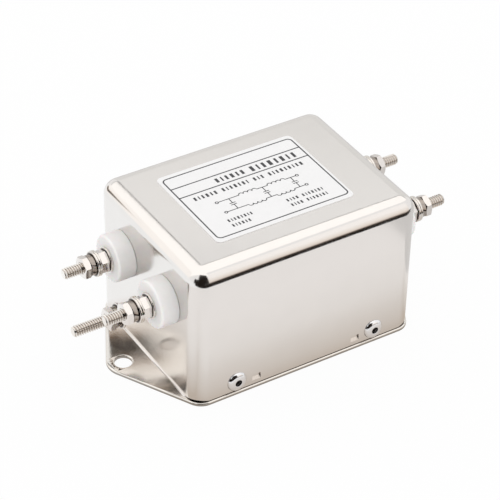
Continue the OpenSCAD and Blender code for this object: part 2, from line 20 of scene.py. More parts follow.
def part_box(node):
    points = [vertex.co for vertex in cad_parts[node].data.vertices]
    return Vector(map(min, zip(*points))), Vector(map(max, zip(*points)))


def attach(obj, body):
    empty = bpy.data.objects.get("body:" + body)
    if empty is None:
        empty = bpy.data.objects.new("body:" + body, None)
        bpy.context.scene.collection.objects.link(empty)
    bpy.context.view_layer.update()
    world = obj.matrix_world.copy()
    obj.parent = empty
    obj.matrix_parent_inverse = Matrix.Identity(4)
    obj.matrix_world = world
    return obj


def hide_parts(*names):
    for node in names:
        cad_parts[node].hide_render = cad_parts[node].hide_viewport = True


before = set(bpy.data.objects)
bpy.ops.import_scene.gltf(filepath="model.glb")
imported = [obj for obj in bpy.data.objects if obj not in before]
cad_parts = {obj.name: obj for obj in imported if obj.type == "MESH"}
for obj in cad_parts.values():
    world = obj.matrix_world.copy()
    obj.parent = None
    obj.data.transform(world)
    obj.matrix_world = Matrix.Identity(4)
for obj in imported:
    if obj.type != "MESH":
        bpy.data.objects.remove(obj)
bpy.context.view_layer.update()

log = logging.getLogger("filter")

MM = 0.001
ROOT = "root"
# Name of the mesh layer that marks where shade is painted into a finish's colour, and how strongly.
PAINTED_SHADE_LAYER = "painted_shade_layer"

# Play in millimetres for finding points by their place, from the tightest to the loosest.
TOUCH, NEAR, CLOSE = 0.001, 0.01, 0.1
# Least share of a normal along an axis at which a face is taken to lie square to it.
SQUARE = 0.999
# Distances in millimetres below which points are merged and edges are dissolved.
MERGE_GAP, SLIVER = 0.0005, 0.0001
# Angle between faces in degrees above which an edge stays crisp.
SHARP_DEG = 32.0

# Values of the noise between which a finish varies, and the fineness of the noise.
PATTERN_ENDS = (0.3, 0.7)
NOISE_DETAIL = 5.0
# Depth in millimetres to which light goes into a translucent finish.
SCATTER_DEPTH = 1.5
SMOOTHEST = 0.02
# Numbers of the colour mixer's sockets, which share their names with others.
MIX_SHARE, MIX_FIRST, MIX_SECOND, MIX_RESULT = 0, 6, 7, 2

Point = tuple[float, float]
Colour = tuple[float, float, float]
Placed = tuple[BMesh, Matrix]
Tones = Sequence[tuple[float, Sequence[float]]]
Inputs = dict[str | int, object]


class Slot(Enum):
    """Material slots."""

    CASE = "nickel_case"
    HARDWARE = "bright_hardware"
    RIVET = "rivet_aluminium"
    MANDREL = "mandrel_steel"
    NYLON = "white_nylon"
    LABEL = "label_film"
    FIBRE = "fibre_sheet"
    FERRITE = "ferrite"
    COPPER = "copper_wire"
    EARTH = "earth_insulation"
    BOARD = "board_laminate"
    FILM_CAP = "film_capacitor"
    DISC_CAP = "disc_capacitor"
    RESISTOR = "resistor_body"


class Grain(Enum):
    """Stretch of a finish's pattern: its frequency along X, Y and Z."""

    CLOUDED = (1.0, 1.0, 1.0)
    ROLLED = (0.08, 1.0, 1.0)
    TURNED = (1.0, 0.12, 0.12)


class Shading:
    """The node tree of one new material."""

    def __init__(self, name: str) -> None:
        """Start the material with the standard shader.

        Args:
            name: Name of the material.
        """
        self.material: Material = bpy.data.materials.new(name)
        self.material.use_nodes = True
        self.tree = self.material.node_tree

    def feed(self, node: Node, inputs: Inputs) -> None:
        """Join sockets to a node's inputs, or set constants on them.

        Args:
            node: The node.
            inputs: Sockets or constants by the input's name or number.
        """
        for key, value in inputs.items():
            if isinstance(value, NodeSocket):
                self.tree.links.new(value, node.inputs[key])
            else:
                node.inputs[key].default_value = value

    def add(self, kind: str, inputs: Inputs) -> Node:
        """Add a node and feed it.

        Args:
            kind: Kind of the node.
            inputs: Sockets or constants by the input's name or number.

        Returns:
            The node.
        """
        node = self.tree.nodes.new(f"ShaderNode{kind}")
        self.feed(node, inputs)
        return node

    def calc(self, operation: str, *values: float | NodeSocket) -> NodeSocket:
        """Reckon with values.

        Args:
            operation: What is done with them.
            values: Sockets or constants.

        Returns:
            The socket with the result.
        """
        node = self.add("Math", dict(enumerate(values)))
        node.operation = operation
        return node.outputs["Value"]

    def place(self) -> NodeSocket:
        """Give the socket with the piece's own coordinates."""
        return self.add("TexCoord", {}).outputs["Object"]

    def axes(self) -> bpy.types.NodeOutputs:
        """Give the sockets with the piece's own coordinates, by axis."""
        return self.add("SeparateXYZ", {"Vector": self.place()}).outputs

    def ramp(self, value: NodeSocket, stops: Tones) -> NodeSocket:
        """Colour a value by stops.

        Args:
            value: The value.
            stops: Colours by value, from 0 to 1.

        Returns:
            The socket with the colour.
        """
        node = self.add("ValToRGB", {"Fac": value})
        marks = node.color_ramp.elements
        while len(marks) < len(stops):
            marks.new(0.5)
        for mark, (place, colour) in zip(marks, stops):
            mark.position = place
            mark.color = (*colour, 1.0)
        return node.outputs["Color"]

    def tones(self, value: NodeSocket, tones: Tones) -> NodeSocket:
        """Colour a value in metres by tones.

        Args:
            value: The value.
            tones: Colours by value, from the lowest to the highest.

        Returns:
            The socket with the colour.
        """
        low, high = tones[0][0], tones[-1][0]
        share = self.add("MapRange", {"From Min": low, "From Max": high, "Value": value})
        stops = [((where - low) / (high - low), tone) for where, tone in tones]
        return self.ramp(share.outputs["Result"], stops)

    def mix(self, share: NodeSocket, first: NodeSocket, second: NodeSocket) -> NodeSocket:
        """Mix two shaders.

        Args:
            share: Share of the second one.
            first: The first shader.
            second: The second shader.

        Returns:
            The socket with the mixture.
        """
        return self.add("MixShader", {0: share, 1: first, 2: second}).outputs["Shader"]

    def surface(self, shader: NodeSocket) -> None:
        """Put a shader in the place of the standard one.

        Args:
            shader: The shader.
        """
        nodes = self.tree.nodes
        nodes.remove(nodes["Principled BSDF"])
        self.feed(nodes["Material Output"], {"Surface": shader})


@dataclass(frozen=True)
class Finish:
    """One surface finish, with its colour, gloss and the fine variation of both.

    Attributes:
        name: Name of the material.
        slot: Material slot; not used.
        colour: Linear base colour.
        metallic: 1 for bare metal.
        roughness: Mean roughness.
        tone: Share by which the colour varies.
        polish: Amount by which the roughness varies.
        grain: Stretch of the pattern.
        grain_size: Size of the pattern in millimetres.
        relief: Height of the pattern's bump in millimetres.
        coat: Weight of a clear coat.
        translucence: Weight of the light that goes in below the surface.
        painted_shade_colour: Linear colour of painted shade, mixed in where a mesh marks shade in
            grooves, seams, thread roots and recesses and at the edges of holes.
    """

    name: str
    slot: Slot
    colour: Colour
    metallic: float = 0.0
    roughness: float = 0.45
    tone: float = 0.05
    polish: float = 0.05
    grain: Grain = Grain.CLOUDED
    grain_size: float = 1.5
    relief: float = 0.002
    coat: float = 0.0
    translucence: float = 0.0
    painted_shade_colour: Colour | None = None

    @cache
    def material(self) -> Material:
        """Build the finish's node tree, once for all its pieces.

        Returns:
            The material.
        """
        web = Shading(self.name)
        pattern = self._pattern(web)
        shader = web.tree.nodes["Principled BSDF"]
        web.feed(shader, {
            "Metallic": self.metallic, "Coat Weight": self.coat,
            "Subsurface Weight": self.translucence, "Subsurface Scale": SCATTER_DEPTH * MM,
            "Base Color": self._tint(web, pattern), "Roughness": self._gloss(web, pattern)})
        if self.relief > 0.0:
            bump = web.add("Bump", {"Distance": self.relief * MM, "Height": pattern})
            web.feed(shader, {"Normal": bump.outputs["Normal"]})
        return web.material

    def _pattern(self, web: Shading) -> NodeSocket:
        """Lay a stretched noise on the piece's own coordinates.

        Args:
            web: The material's nodes.

        Returns:
            The socket with the pattern's value.
        """
        per_metre = 1.0 / (self.grain_size * MM)
        stretch = web.add("Mapping", {"Vector": web.place(),
                                      "Scale": [per_metre * s for s in self.grain.value]})
        noise = web.add("TexNoise", {"Vector": stretch.outputs["Vector"], "Scale": 1.0,
                                     "Detail": NOISE_DETAIL})
        return noise.outputs["Fac"]

    def _tint(self, web: Shading, pattern: NodeSocket) -> NodeSocket:
        """Vary the base colour with the pattern, and mix in the painted shade where the mesh marks
        it.

        Args:
            web: The material's nodes.
            pattern: Value of the pattern.

        Returns:
            The socket with the colour.
        """
        gains = (1.0 - self.tone, 1.0 + self.tone)
        colour = web.ramp(pattern, [(place, [min(1.0, c * gain) for c in self.colour])
                                    for place, gain in zip(PATTERN_ENDS, gains)])
        if self.painted_shade_colour is None:
            return colour
        # Mix in the painted shade by the mesh's painted-shade layer.
        depth = web.add("Attribute", {})
        depth.attribute_name = PAINTED_SHADE_LAYER
        blend = web.add("Mix", {})
        blend.data_type = "RGBA"
        web.feed(blend, {MIX_SHARE: depth.outputs["Fac"], MIX_FIRST: colour,
                         MIX_SECOND: (*self.painted_shade_colour, 1.0)})
        return blend.outputs[MIX_RESULT]

    def _gloss(self, web: Shading, pattern: NodeSocket) -> NodeSocket:
        """Vary the roughness with the pattern.

        Args:
            web: The material's nodes.
            pattern: Value of the pattern.

        Returns:
            The socket with the roughness.
        """
        spread = web.add("MapRange", {
            "Value": pattern, "From Min": PATTERN_ENDS[0], "From Max": PATTERN_ENDS[1],
            "To Min": max(SMOOTHEST, self.roughness - self.polish),
            "To Max": min(1.0, self.roughness + self.polish)})
        return spread.outputs["Result"]


# Where a finish below gives a second, dark colour, it is painted shade, mixed in where a mesh marks
# shade.
NICKEL_SHEET = Finish("nickel_sheet", Slot.CASE, (0.785, 0.757, 0.735), metallic=1.0,
                      roughness=0.16, tone=0.012, polish=0.02, grain_size=6.0, relief=0.0,
                      painted_shade_colour=(0.12, 0.085, 0.065))
NICKEL_PLATE = Finish("nickel_plate", Slot.CASE, (0.80, 0.77, 0.73), metallic=1.0,
                      roughness=0.09, tone=0.015, polish=0.03, grain_size=5.0, relief=0.0,
                      painted_shade_colour=(0.42, 0.41, 0.40))
BRIGHT_STEEL = Finish("bright_steel", Slot.HARDWARE, (0.78, 0.74, 0.71), metallic=1.0,
                      roughness=0.12, tone=0.03, polish=0.03, grain_size=0.8, relief=0.001,
                      painted_shade_colour=(0.05, 0.035, 0.028))
# Dark steel, its colour darkened further as painted shade of the washer lying between the nut and
# the flat washers.
SPRING_STEEL = Finish("spring_steel", Slot.HARDWARE, (0.39, 0.345, 0.31), metallic=1.0,
                      roughness=0.12, tone=0.04, polish=0.04, grain_size=0.8, relief=0.001,
                      painted_shade_colour=(0.04, 0.03, 0.025))
TURNED_STEEL = Finish("turned_steel", Slot.HARDWARE, (0.76, 0.72, 0.68), metallic=1.0,
                      roughness=0.14, tone=0.03, polish=0.03, grain=Grain.TURNED,
                      grain_size=0.25, relief=0.001, painted_shade_colour=(0.05, 0.035, 0.028))
CUT_THREAD = Finish("cut_thread", Slot.HARDWARE, (0.85, 0.82, 0.78), metallic=1.0,
                    roughness=0.14, tone=0.03, polish=0.03, grain=Grain.TURNED,
                    grain_size=0.3, relief=0.001, painted_shade_colour=(0.48, 0.43, 0.39))
RIVET_ALLOY = Finish("rivet_alloy", Slot.RIVET, (0.83, 0.83, 0.845), metallic=1.0,
                     roughness=0.16, tone=0.03, polish=0.04, grain_size=0.7, relief=0.001)
# The near-black colour is dark broken steel, darkened further as painted shade in the deep rivet
# bore.
MANDREL_STEEL = Finish("broken_mandrel", Slot.MANDREL, (0.09, 0.085, 0.08), metallic=1.0,
                       roughness=0.5, tone=0.25, polish=0.1, grain_size=0.3, relief=0.03)
WHITE_NYLON = Finish("moulded_nylon", Slot.NYLON, (0.93, 0.908, 0.895), roughness=0.42,
                     tone=0.015, grain_size=1.2, relief=0.004, translucence=0.12)
LABEL_FILM = Finish("matt_film", Slot.LABEL, (0.902, 0.895, 0.894), roughness=0.42, tone=0.008,
                    polish=0.04, grain_size=2.5, relief=0.001)
PRINT_INK = Finish("print_ink", Slot.LABEL, (0.045, 0.045, 0.05), roughness=0.55, tone=0.2,
                   grain_size=0.4, relief=0.0)
FIBRE = Finish("pressed_fibre", Slot.FIBRE, (0.17, 0.18, 0.19), roughness=0.85, tone=0.2,
               grain=Grain.ROLLED, grain_size=0.8, relief=0.02)
FERRITE = Finish("coated_ferrite", Slot.FERRITE, (0.03, 0.08, 0.045), roughness=0.38, tone=0.15,
                 polish=0.08, grain_size=0.6, relief=0.01, coat=0.1)
ENAMEL_COPPER = Finish("enamelled_copper", Slot.COPPER, (0.58, 0.20, 0.065), metallic=1.0,
                       roughness=0.24, tone=0.12, grain_size=1.0)
EARTH_SLEEVE = Finish("earth_sleeve", Slot.EARTH, (0.10, 0.34, 0.035), roughness=0.48, tone=0.08,
                      grain_size=0.9, relief=0.004)
LAMINATE = Finish("green_laminate", Slot.BOARD, (0.075, 0.15, 0.04), roughness=0.5, tone=0.12,
                  polish=0.06, grain=Grain.ROLLED, grain_size=0.6, relief=0.006)
CAP_RESIN = Finish("capacitor_resin", Slot.FILM_CAP, (0.80, 0.52, 0.035), roughness=0.36,
                   tone=0.06, polish=0.06, grain_size=1.1, relief=0.004)
DISC_GLAZE = Finish("disc_glaze", Slot.DISC_CAP, (0.035, 0.12, 0.38), roughness=0.25, tone=0.1,
                    polish=0.06, grain_size=0.9, relief=0.01, coat=0.2)
RESISTOR_BODY = Finish("resistor_enamel", Slot.RESISTOR, (0.54, 0.39, 0.20), tone=0.08,
                       polish=0.06, grain_size=0.7, relief=0.004)


def box_mm(node: str) -> tuple[Vector, Vector]:
    """Give a CAD node's lowest and highest corners in millimetres.

    Args:
        node: Name of the CAD node.

    Returns:
        The two corners.
    """
    low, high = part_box(node)
    return low / MM, high / MM


def fillet(centre: Point, radius: float, start: float, end: float, steps: int) -> list[Point]:
    """Give the points of a rounded corner in a profile.

    Args:
        centre: Centre of the arc.
        radius: Radius of the arc.
        start: First angle in degrees.
        end: Last angle in degrees.
        steps: Number of stretches along the arc.

    Returns:
        The points from the first angle to the last.
    """
    turns = [math.radians(start + (end - start) * k / steps) for k in range(steps + 1)]
    return [(centre[0] + radius * math.cos(a), centre[1] + radius * math.sin(a)) for a in turns]


def lathe(profile: Sequence[Point], steps: int, closed: bool = True) -> BMesh:
    """Turn a profile round the Z axis.

    Args:
        profile: Points as (radius, height).
        steps: Stretches round the turn.
        closed: Whether the profile's last point joins its first.

    Returns:
        The turned body.
    """
    bm = bmesh.new()
    verts = [bm.verts.new((r, 0.0, z)) for r, z in profile]
    following = verts[1:] + verts[:1] if closed else verts[1:]
    edges = [bm.edges.new(pair) for pair in zip(verts, following)]
    bmesh.ops.spin(bm, geom=verts + edges, cent=(0, 0, 0), axis=(0, 0, 1), angle=math.tau,
                   steps=steps, use_merge=True)
    tidy(bm)
    return bm


def swing(profile: Sequence[Point], start: float, sweep: float, steps: int) -> BMesh:
    """Swing a closed profile part of the way round the Z axis.

    Args:
        profile: Points as (radius, height).
        start: First angle in degrees.
        sweep: Angle of the swing in degrees.
        steps: Stretches along the swing.

    Returns:
        The body with its two end faces, not yet tidied.
    """
    bm = bmesh.new()
    verts = [bm.verts.new((r, 0.0, z)) for r, z in profile]
    section = bm.faces.new(verts)
    turn = Matrix.Rotation(math.radians(start), 3, "Z")
    bmesh.ops.rotate(bm, cent=(0, 0, 0), matrix=turn, verts=verts)
    bmesh.ops.spin(bm, geom=[section] + list(section.edges) + verts, cent=(0, 0, 0),
                   axis=(0, 0, 1), angle=math.radians(sweep), steps=steps)
    return bm


def draw_out(bm: BMesh, faces: Sequence[BMFace], way: Sequence[float]) -> list[BMVert]:
    """Extrude faces.

    Args:
        bm: The mesh.
        faces: The faces.
        way: How far they go.

    Returns:
        The points of the moved faces.
    """
    raised = bmesh.ops.extrude_face_region(bm, geom=faces)["geom"]
    moved = [g for g in raised if isinstance(g, BMVert)]
    bmesh.ops.translate(bm, vec=way, verts=moved)
    return moved


def tidy(bm: BMesh) -> None:
    """Merge doubled points and turn all faces outwards.

    Args:
        bm: The mesh.
    """
    bmesh.ops.remove_doubles(bm, verts=bm.verts[:], dist=MERGE_GAP)
    bmesh.ops.dissolve_degenerate(bm, edges=bm.edges[:], dist=SLIVER)
    bmesh.ops.recalc_face_normals(bm, faces=bm.faces[:])


def gather(parts: Iterable[Placed]) -> BMesh:
    """Put several bodies, each at its own place, into one mesh.

    Args:
        parts: Bodies with their places.

    Returns:
        The joined mesh, in which the bodies stay separate shells.
    """
    whole = bmesh.new()
    for body, place in parts:
        bmesh.ops.transform(body, matrix=place, verts=body.verts[:])
        carrier = bpy.data.meshes.new("carrier")
        body.to_mesh(carrier)
        body.free()
        whole.from_mesh(carrier)
        bpy.data.meshes.remove(carrier)
    return whole


def add_object(name: str, bm: BMesh) -> Object:
    """Make an object of a mesh and put it in the scene.

    Args:
        name: Name of the object.
        bm: The mesh, which is freed.

    Returns:
        The object.
    """
    mesh = bpy.data.meshes.new(name)
    bm.to_mesh(mesh)
    bm.free()
    made = bpy.data.objects.new(name, mesh)
    bpy.context.scene.collection.objects.link(made)
    return made


def make_piece(name: str, bm: BMesh, finish: Finish, replaced: Sequence[str] = (),
               sharp_deg: float = SHARP_DEG) -> Object:
    """Turn a mesh in millimetres into a dressed piece that rides on the case.

    Args:
        name: Name of the piece.
        bm: The mesh, which is freed.
        finish: Finish of the piece.
        replaced: CAD nodes that the piece stands for.
        sharp_deg: Angle between faces above which an edge stays crisp.

    Returns:
        The piece.
    """
    limit = math.radians(sharp_deg)
    for face in bm.faces:
        face.smooth = True
    for edge in bm.edges:
        edge.smooth = len(edge.link_faces) == 2 and edge.calc_face_angle(0.0) < limit
    bmesh.ops.scale(bm, vec=(MM, MM, MM), verts=bm.verts[:])
    piece = add_object(name, bm)
    piece.data.materials.append(finish.material())
    even = piece.modifiers.new("even_faces", "WEIGHTED_NORMAL")
    even.keep_sharp = True
    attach(piece, ROOT)
    if replaced:
        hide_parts(*replaced)
    return piece


@dataclass
class Cover:
    """The drawn cover: rounded sheet shell, open below, with pressed locks and punched holes."""

    sheet: float = 0.8
    bend: float = 5.5
    bend_steps: int = 18
    corner_lift: float = 0.62
    lift_power: float = 1.1
    foot: float = 0.5
    flare: float = 0.6
    loop_gap: float = 0.1
    flare_gap: float = 1.0
    lock_x: float = 19.5
    lock_z: float = 4.2
    lock_size: Point = (3.2, 2.4)
    lock_depth: float = 0.6
    lock_slope: float = 1.1
    # Width of the band of painted shade at the recess's deep end, and the painted shade's strength
    # on the sill.
    lock_shade_width: float = 0.8
    sill_shade: float = 0.5
    rivet_hole: float = 4.1
    spigot_hole: float = 10.2
    earth_hole: float = 4.3
    hole_steps: int = 64
    punch_depth: float = 6.0
    sharp_deg: float = 28.0
    low: Vector = field(default_factory=lambda: box_mm("cover")[0])
    high: Vector = field(default_factory=lambda: box_mm("cover")[1])

    def build(self) -> list[Object]:
        """Model and dress the cover.

        Returns:
            The cover's piece.
        """
        bm = self._shell()
        # This layer carries the painted shade in the locks and along the lower edge.
        bm.verts.layers.float.new(PAINTED_SHADE_LAYER)
        for side in (-1, 1):
            for place in (-self.lock_x, self.lock_x):
                self._press_lock(bm, side, place)
        self._cut_foot(bm)
        bmesh.ops.solidify(bm, geom=bm.faces[:], thickness=self.sheet)
        tidy(bm)
        self._shape_foot(bm)
        return [make_piece("case_cover", self._punch(bm), NICKEL_SHEET, ["cover"], self.sharp_deg)]

    def _shell(self) -> BMesh:
        """Round a box over and leave it open below.

        Returns:
            The outer skin.
        """
        bm = bmesh.new()
        bmesh.ops.create_cube(bm, size=1.0)
        bmesh.ops.scale(bm, vec=self.high - self.low, verts=bm.verts[:])
        bmesh.ops.translate(bm, vec=(self.high + self.low) / 2, verts=bm.verts[:])
        floor = [f for f in bm.faces if f.normal.z < -SQUARE]
        bmesh.ops.delete(bm, geom=floor, context="FACES_ONLY")
        middle = (self.high.z + self.low.z) / 2
        round_edges = [e for e in bm.edges if max(v.co.z for v in e.verts) > middle]
        bmesh.ops.bevel(bm, geom=round_edges, offset=self.bend, offset_type="OFFSET",
                        affect="EDGES", segments=self.bend_steps, profile=0.5, material=-1)
        return bm

    @staticmethod
    def _slice(bm: BMesh, faces: Iterable[BMFace], point: Sequence[float],
               normal: Sequence[float]) -> None:
        """Cut some faces along a plane.

        Args:
            bm: The mesh.
            faces: The faces to cut.
            point: A point of the plane.
            normal: The plane's normal.
        """
        parts = list(faces)
        parts += [e for f in parts for e in f.edges] + [v for f in parts for v in f.verts]
        bmesh.ops.bisect_plane(bm, geom=list(dict.fromkeys(parts)), plane_co=point,
                               plane_no=normal)

    def _press_lock(self, bm: BMesh, side: int, place: float) -> None:
        """Press one small recess with a sloping sill into a long side, with painted shade at its
        deep end and on its sill.

        Args:
            bm: The cover's skin.
            side: -1 for the near side, 1 for the far side.
            place: Middle of the recess along the case.
        """
        half_l, half_h = self.lock_size[0] / 2, self.lock_size[1] / 2
        # The cut short of the recess's end bounds the band of painted shade.
        cuts = [((place + x, 0, 0), (1, 0, 0)) for x in (-half_l, half_l - self.lock_shade_width, half_l)]
        cuts += [((0, 0, self.lock_z + s * half_h), (0, 0, 1)) for s in (-1, 1)]
        for point, normal in cuts:
            self._slice(bm, [f for f in bm.faces if f.normal.y * side > SQUARE], point, normal)
        seats = []
        for face in bm.faces:
            off = face.calc_center_median() - Vector((place, side * self.high.y, self.lock_z))
            if abs(off.x) < half_l and abs(off.y) < NEAR and abs(off.z) < half_h:
                seats.append(face)
        corners = draw_out(bm, seats, (0, -side * self.lock_depth, 0))
        bmesh.ops.delete(bm, geom=[f for f in seats if f.is_valid], context="FACES")
        # Painted shade on the recess's deep end, weaker on the sloping sill.
        depth = bm.verts.layers.float[PAINTED_SHADE_LAYER]
        for vert in corners:
            at_end = vert.co.x > place + half_l - NEAR
            vert[depth] = 1.0 * at_end
            if vert.co.z < self.lock_z:
                vert.co.z += self.lock_slope
                vert[depth] = self.sill_shade * at_end

    def _cut_foot(self, bm: BMesh) -> None:
        """Add the edge loops from which the lower edge is shaped.

        Args:
            bm: The cover's skin.
        """
        for k in range(1, round(self.flare / self.loop_gap) + 1):
            self._slice(bm, bm.faces, (0, 0, self.low.z + k * self.loop_gap), (0, 0, 1))
        reach = self.high.y - self.bend - self.flare_gap
        for y in (-reach, reach):
            self._slice(bm, [f for f in bm.faces if abs(f.normal.x) > SQUARE], (0, y, 0), (0, 1, 0))

    def _shape_foot(self, bm: BMesh) -> None:
        """Round the lower edge, turn it out over the ears and lift it round the corners, and paint
        shade along the lower edge of the long sides.

        Args:
            bm: The cover's wall.
        """
        middle = Vector((self.high.x - self.bend, self.high.y - self.bend))
        depth = bm.verts.layers.float[PAINTED_SHADE_LAYER]
        for vert in bm.verts:
            height = vert.co.z - self.low.z
            if height > self.flare + TOUCH:
                continue
            turn_in = self._bow_at(height, self.foot)
            place = Vector((abs(vert.co.x), abs(vert.co.y)))
            out = place - middle
            at_end = out.y < -self.flare_gap + NEAR
            # Painted shade along the lower edge of the long sides, darkest at the bottom, for the
            # shaded groove above the plate.
            if not at_end:
                vert[depth] = max(0.0, 1.0 - height / self.foot)
            if min(out) > TOUCH:
                if out.length > self.bend - CLOSE:
                    place -= out.normalized() * turn_in
                lean = math.atan2(out.y, out.x)
                vert.co.z += self.corner_lift * math.sin(2.0 * lean) ** self.lift_power
            elif place.y > self.high.y - CLOSE:
                place.y -= turn_in
            elif place.x > self.high.x - CLOSE:
                place.x += self._bow_at(height, self.flare) if at_end else -turn_in
            vert.co.x = math.copysign(place.x, vert.co.x)
            vert.co.y = math.copysign(place.y, vert.co.y)

    @staticmethod
    def _bow_at(height: float, radius: float) -> float:
        """Give how far a quarter bow that starts up the wall has left it at a height."""
        share = max(0.0, 1.0 - height / radius)
        return radius * (1.0 - math.sqrt(1.0 - share * share))

    def _punch(self, bm: BMesh) -> BMesh:
        """Cut the holes for the bushings, the earth stud and the rivets.

        Args:
            bm: The cover's wall, which is freed.

        Returns:
            The wall with its holes.
        """
        wall, tools = add_object("cover_wall", bm), add_object("cover_holes", self._hole_tools())
        cut = wall.modifiers.new("punch", "BOOLEAN")
        cut.object = tools
        cut.operation = "DIFFERENCE"
        cut.solver = "EXACT"
        result = bmesh.new()
        result.from_object(wall, bpy.context.evaluated_depsgraph_get())
        for used in (wall, tools):
            mesh = used.data
            bpy.data.objects.remove(used)
            bpy.data.meshes.remove(mesh)
        return result

    def _hole_tools(self) -> BMesh:
        """Make a round tool at each hole.

        Returns:
            The tools as one mesh.
        """
        holes = [(self.spigot_hole, s.place(0.0)) for s in TERMINALS]
        holes.append((self.earth_hole, EARTH.place(0.0)))
        holes += [(self.rivet_hole, place) for place in Rivets().places()]
        made = []
        for diameter, place in holes:
            tool = bmesh.new()
            bmesh.ops.create_cone(tool, cap_ends=True, segments=self.hole_steps,
                                  radius1=diameter / 2, radius2=diameter / 2,
                                  depth=self.punch_depth * self.sheet)
            made.append((tool, place))
        return gather(made)


@dataclass(frozen=True)
class Stand:
    """Where a stud stands on an end wall.

    Attributes:
        end: -1 for the earth stud's end, 1 for the other end.
        y: Place across the case.
        z: Height above the mounting face.
        wall_x: Distance of the wall's outside from the middle of the case.
    """

    end: int
    y: float
    z: float
    wall_x: float

    def place(self, out: float, roll: float = 0.0) -> Matrix:
        """Give the place of a piece whose local Z axis points out of the wall.

        Args:
            out: Distance from the wall's outside.
            roll: Turn round the stud's axis in degrees.

        Returns:
            The place in millimetres.
        """
        turned = Matrix.Rotation(math.pi if self.end < 0 else 0.0, 4, "Z")
        stood = Matrix.Translation((self.wall_x + out, self.end * self.y, self.z))
        tipped = Matrix.Rotation(math.radians(90.0), 4, "Y")
        return turned @ stood @ tipped @ Matrix.Rotation(math.radians(roll), 4, "Z")

    @classmethod
    def at_node(cls, node: str) -> "Stand":
        """Find the stand of a stud from the CAD node that surrounds it.

        Args:
            node: Name of the CAD node.

        Returns:
            The stand.
        """
        low, high = box_mm(node)
        middle = (low + high) / 2
        return cls(-1 if middle.x < 0 else 1, middle.y, middle.z, box_mm("cover")[1].x)


TERMINALS = [Stand.at_node(f"outer_bushing_{i}") for i in (1, 2, 3, 4)]
EARTH = Stand.at_node("earth_screw")
UNROLLED = (0.0,) * (len(TERMINALS) + 1)


def side_place(x: float, z: float, turn: float) -> Matrix:
    """Give the place of a piece whose local Z axis points out of a long side.

    Args:
        x: Place along the side.
        z: Height above the mounting face.
        turn: 0 for the far side, pi for the near side.

    Returns:
        The place in millimetres.
    """
    stood = Matrix.Translation((x, box_mm("cover")[1].y, z))
    return Matrix.Rotation(turn, 4, "Z") @ stood @ Matrix.Rotation(math.radians(-90.0), 4, "X")


@dataclass
class MountingPlate:
    """The flat plate below the cover, with a triangular ear and a hole at each end."""

    tip_r: float = 8.0
    shoulder_r: float = 6.0
    shoulder_inset: float = 5.5
    hole_from_wall: float = 9.0
    hole_r: float = 3.0
    hole_steps: int = 64
    edge_r: float = 0.5
    burr_r: float = 0.15
    edge_steps: int = 4
    square_play: float = 0.1
    arc_steps: int = 20
    low: Vector = field(default_factory=lambda: box_mm("mounting_plate")[0])
    high: Vector = field(default_factory=lambda: box_mm("mounting_plate")[1])
    wall_x: float = field(default_factory=lambda: box_mm("cover")[1].x)

    def build(self) -> list[Object]:
        """Model and dress the plate.

        Returns:
            The plate's piece.
        """
        bm = bmesh.new()
        self._outline(bm)
        for end in (-1, 1):
            place = Matrix.Translation((end * (self.wall_x + self.hole_from_wall), 0, 0))
            bmesh.ops.create_circle(bm, segments=self.hole_steps, radius=self.hole_r, matrix=place)
        bmesh.ops.triangle_fill(bm, edges=bm.edges[:], use_beauty=True, use_dissolve=False)
        draw_out(bm, bm.faces[:], (0, 0, self.high.z - self.low.z))
        tidy(bm)
        for height, radius in ((self.high.z, self.edge_r), (self.low.z, self.burr_r)):
            rims = [e for e in bm.edges
                    if abs(e.calc_face_angle(0.0) - math.pi / 2) < self.square_play
                    and all(abs(v.co.z - height) < TOUCH for v in e.verts)]
            bmesh.ops.bevel(bm, geom=rims, offset=radius, offset_type="OFFSET", affect="EDGES",
                            segments=self.edge_steps, profile=0.5, material=-1)
        # Painted shade on the plate's edge faces and underside, below its upper rounding.
        depth = bm.verts.layers.float.new(PAINTED_SHADE_LAYER)
        for vert in bm.verts:
            vert[depth] = 1.0 * (vert.co.z < self.high.z - self.edge_r + NEAR)
        return [make_piece("base_plate", bm, NICKEL_PLATE, ["mounting_plate"])]

    def _outline(self, bm: BMesh) -> None:
        """Draw the plate's edge as six arcs joined by straight lines.

        Args:
            bm: The mesh that gets the edge.
        """
        tip = Vector((self.high.x - self.tip_r, 0.0, 0.0))
        shoulder = Vector((self.wall_x - self.shoulder_inset, self.high.y - self.shoulder_r, 0.0))
        run = shoulder - tip
        lean = math.atan2(run.y, run.x) - math.acos((self.tip_r - self.shoulder_r) / run.length)
        quarter = math.pi / 2
        arcs = [(tip, self.tip_r, -lean, lean), (shoulder, self.shoulder_r, lean, quarter)]
        flip = Vector((-1.0, 1.0, 1.0))
        arcs += [(shoulder * flip, self.shoulder_r, quarter, math.pi - lean)]
        half_turn = Matrix.Rotation(math.pi, 3, "Z")
        arcs += [(half_turn @ c, r, a + math.pi, b + math.pi) for c, r, a, b in arcs]
        ends = [self._arc(bm, *arc) for arc in arcs]
        for (_, last), (first, _) in zip(ends, ends[1:] + ends[:1]):
            bm.edges.new((last, first))

    def _arc(self, bm: BMesh, centre: Vector, radius: float, start: float,
             end: float) -> tuple[BMVert, BMVert]:
        """Swing a point round a centre.

        Args:
            bm: The mesh that gets the arc.
            centre: Centre of the arc.
            radius: Radius of the arc.
            start: First angle.
            end: Last angle.

        Returns:
            The arc's first and last points.
        """
        out = Vector((math.cos(start), math.sin(start), 0.0))
        first = bm.verts.new(centre + radius * out)
        swung = bmesh.ops.spin(bm, geom=[first], cent=centre, axis=(0, 0, 1), angle=end - start,
                               steps=self.arc_steps)
        return first, next(g for g in swung["geom_last"] if isinstance(g, BMVert))


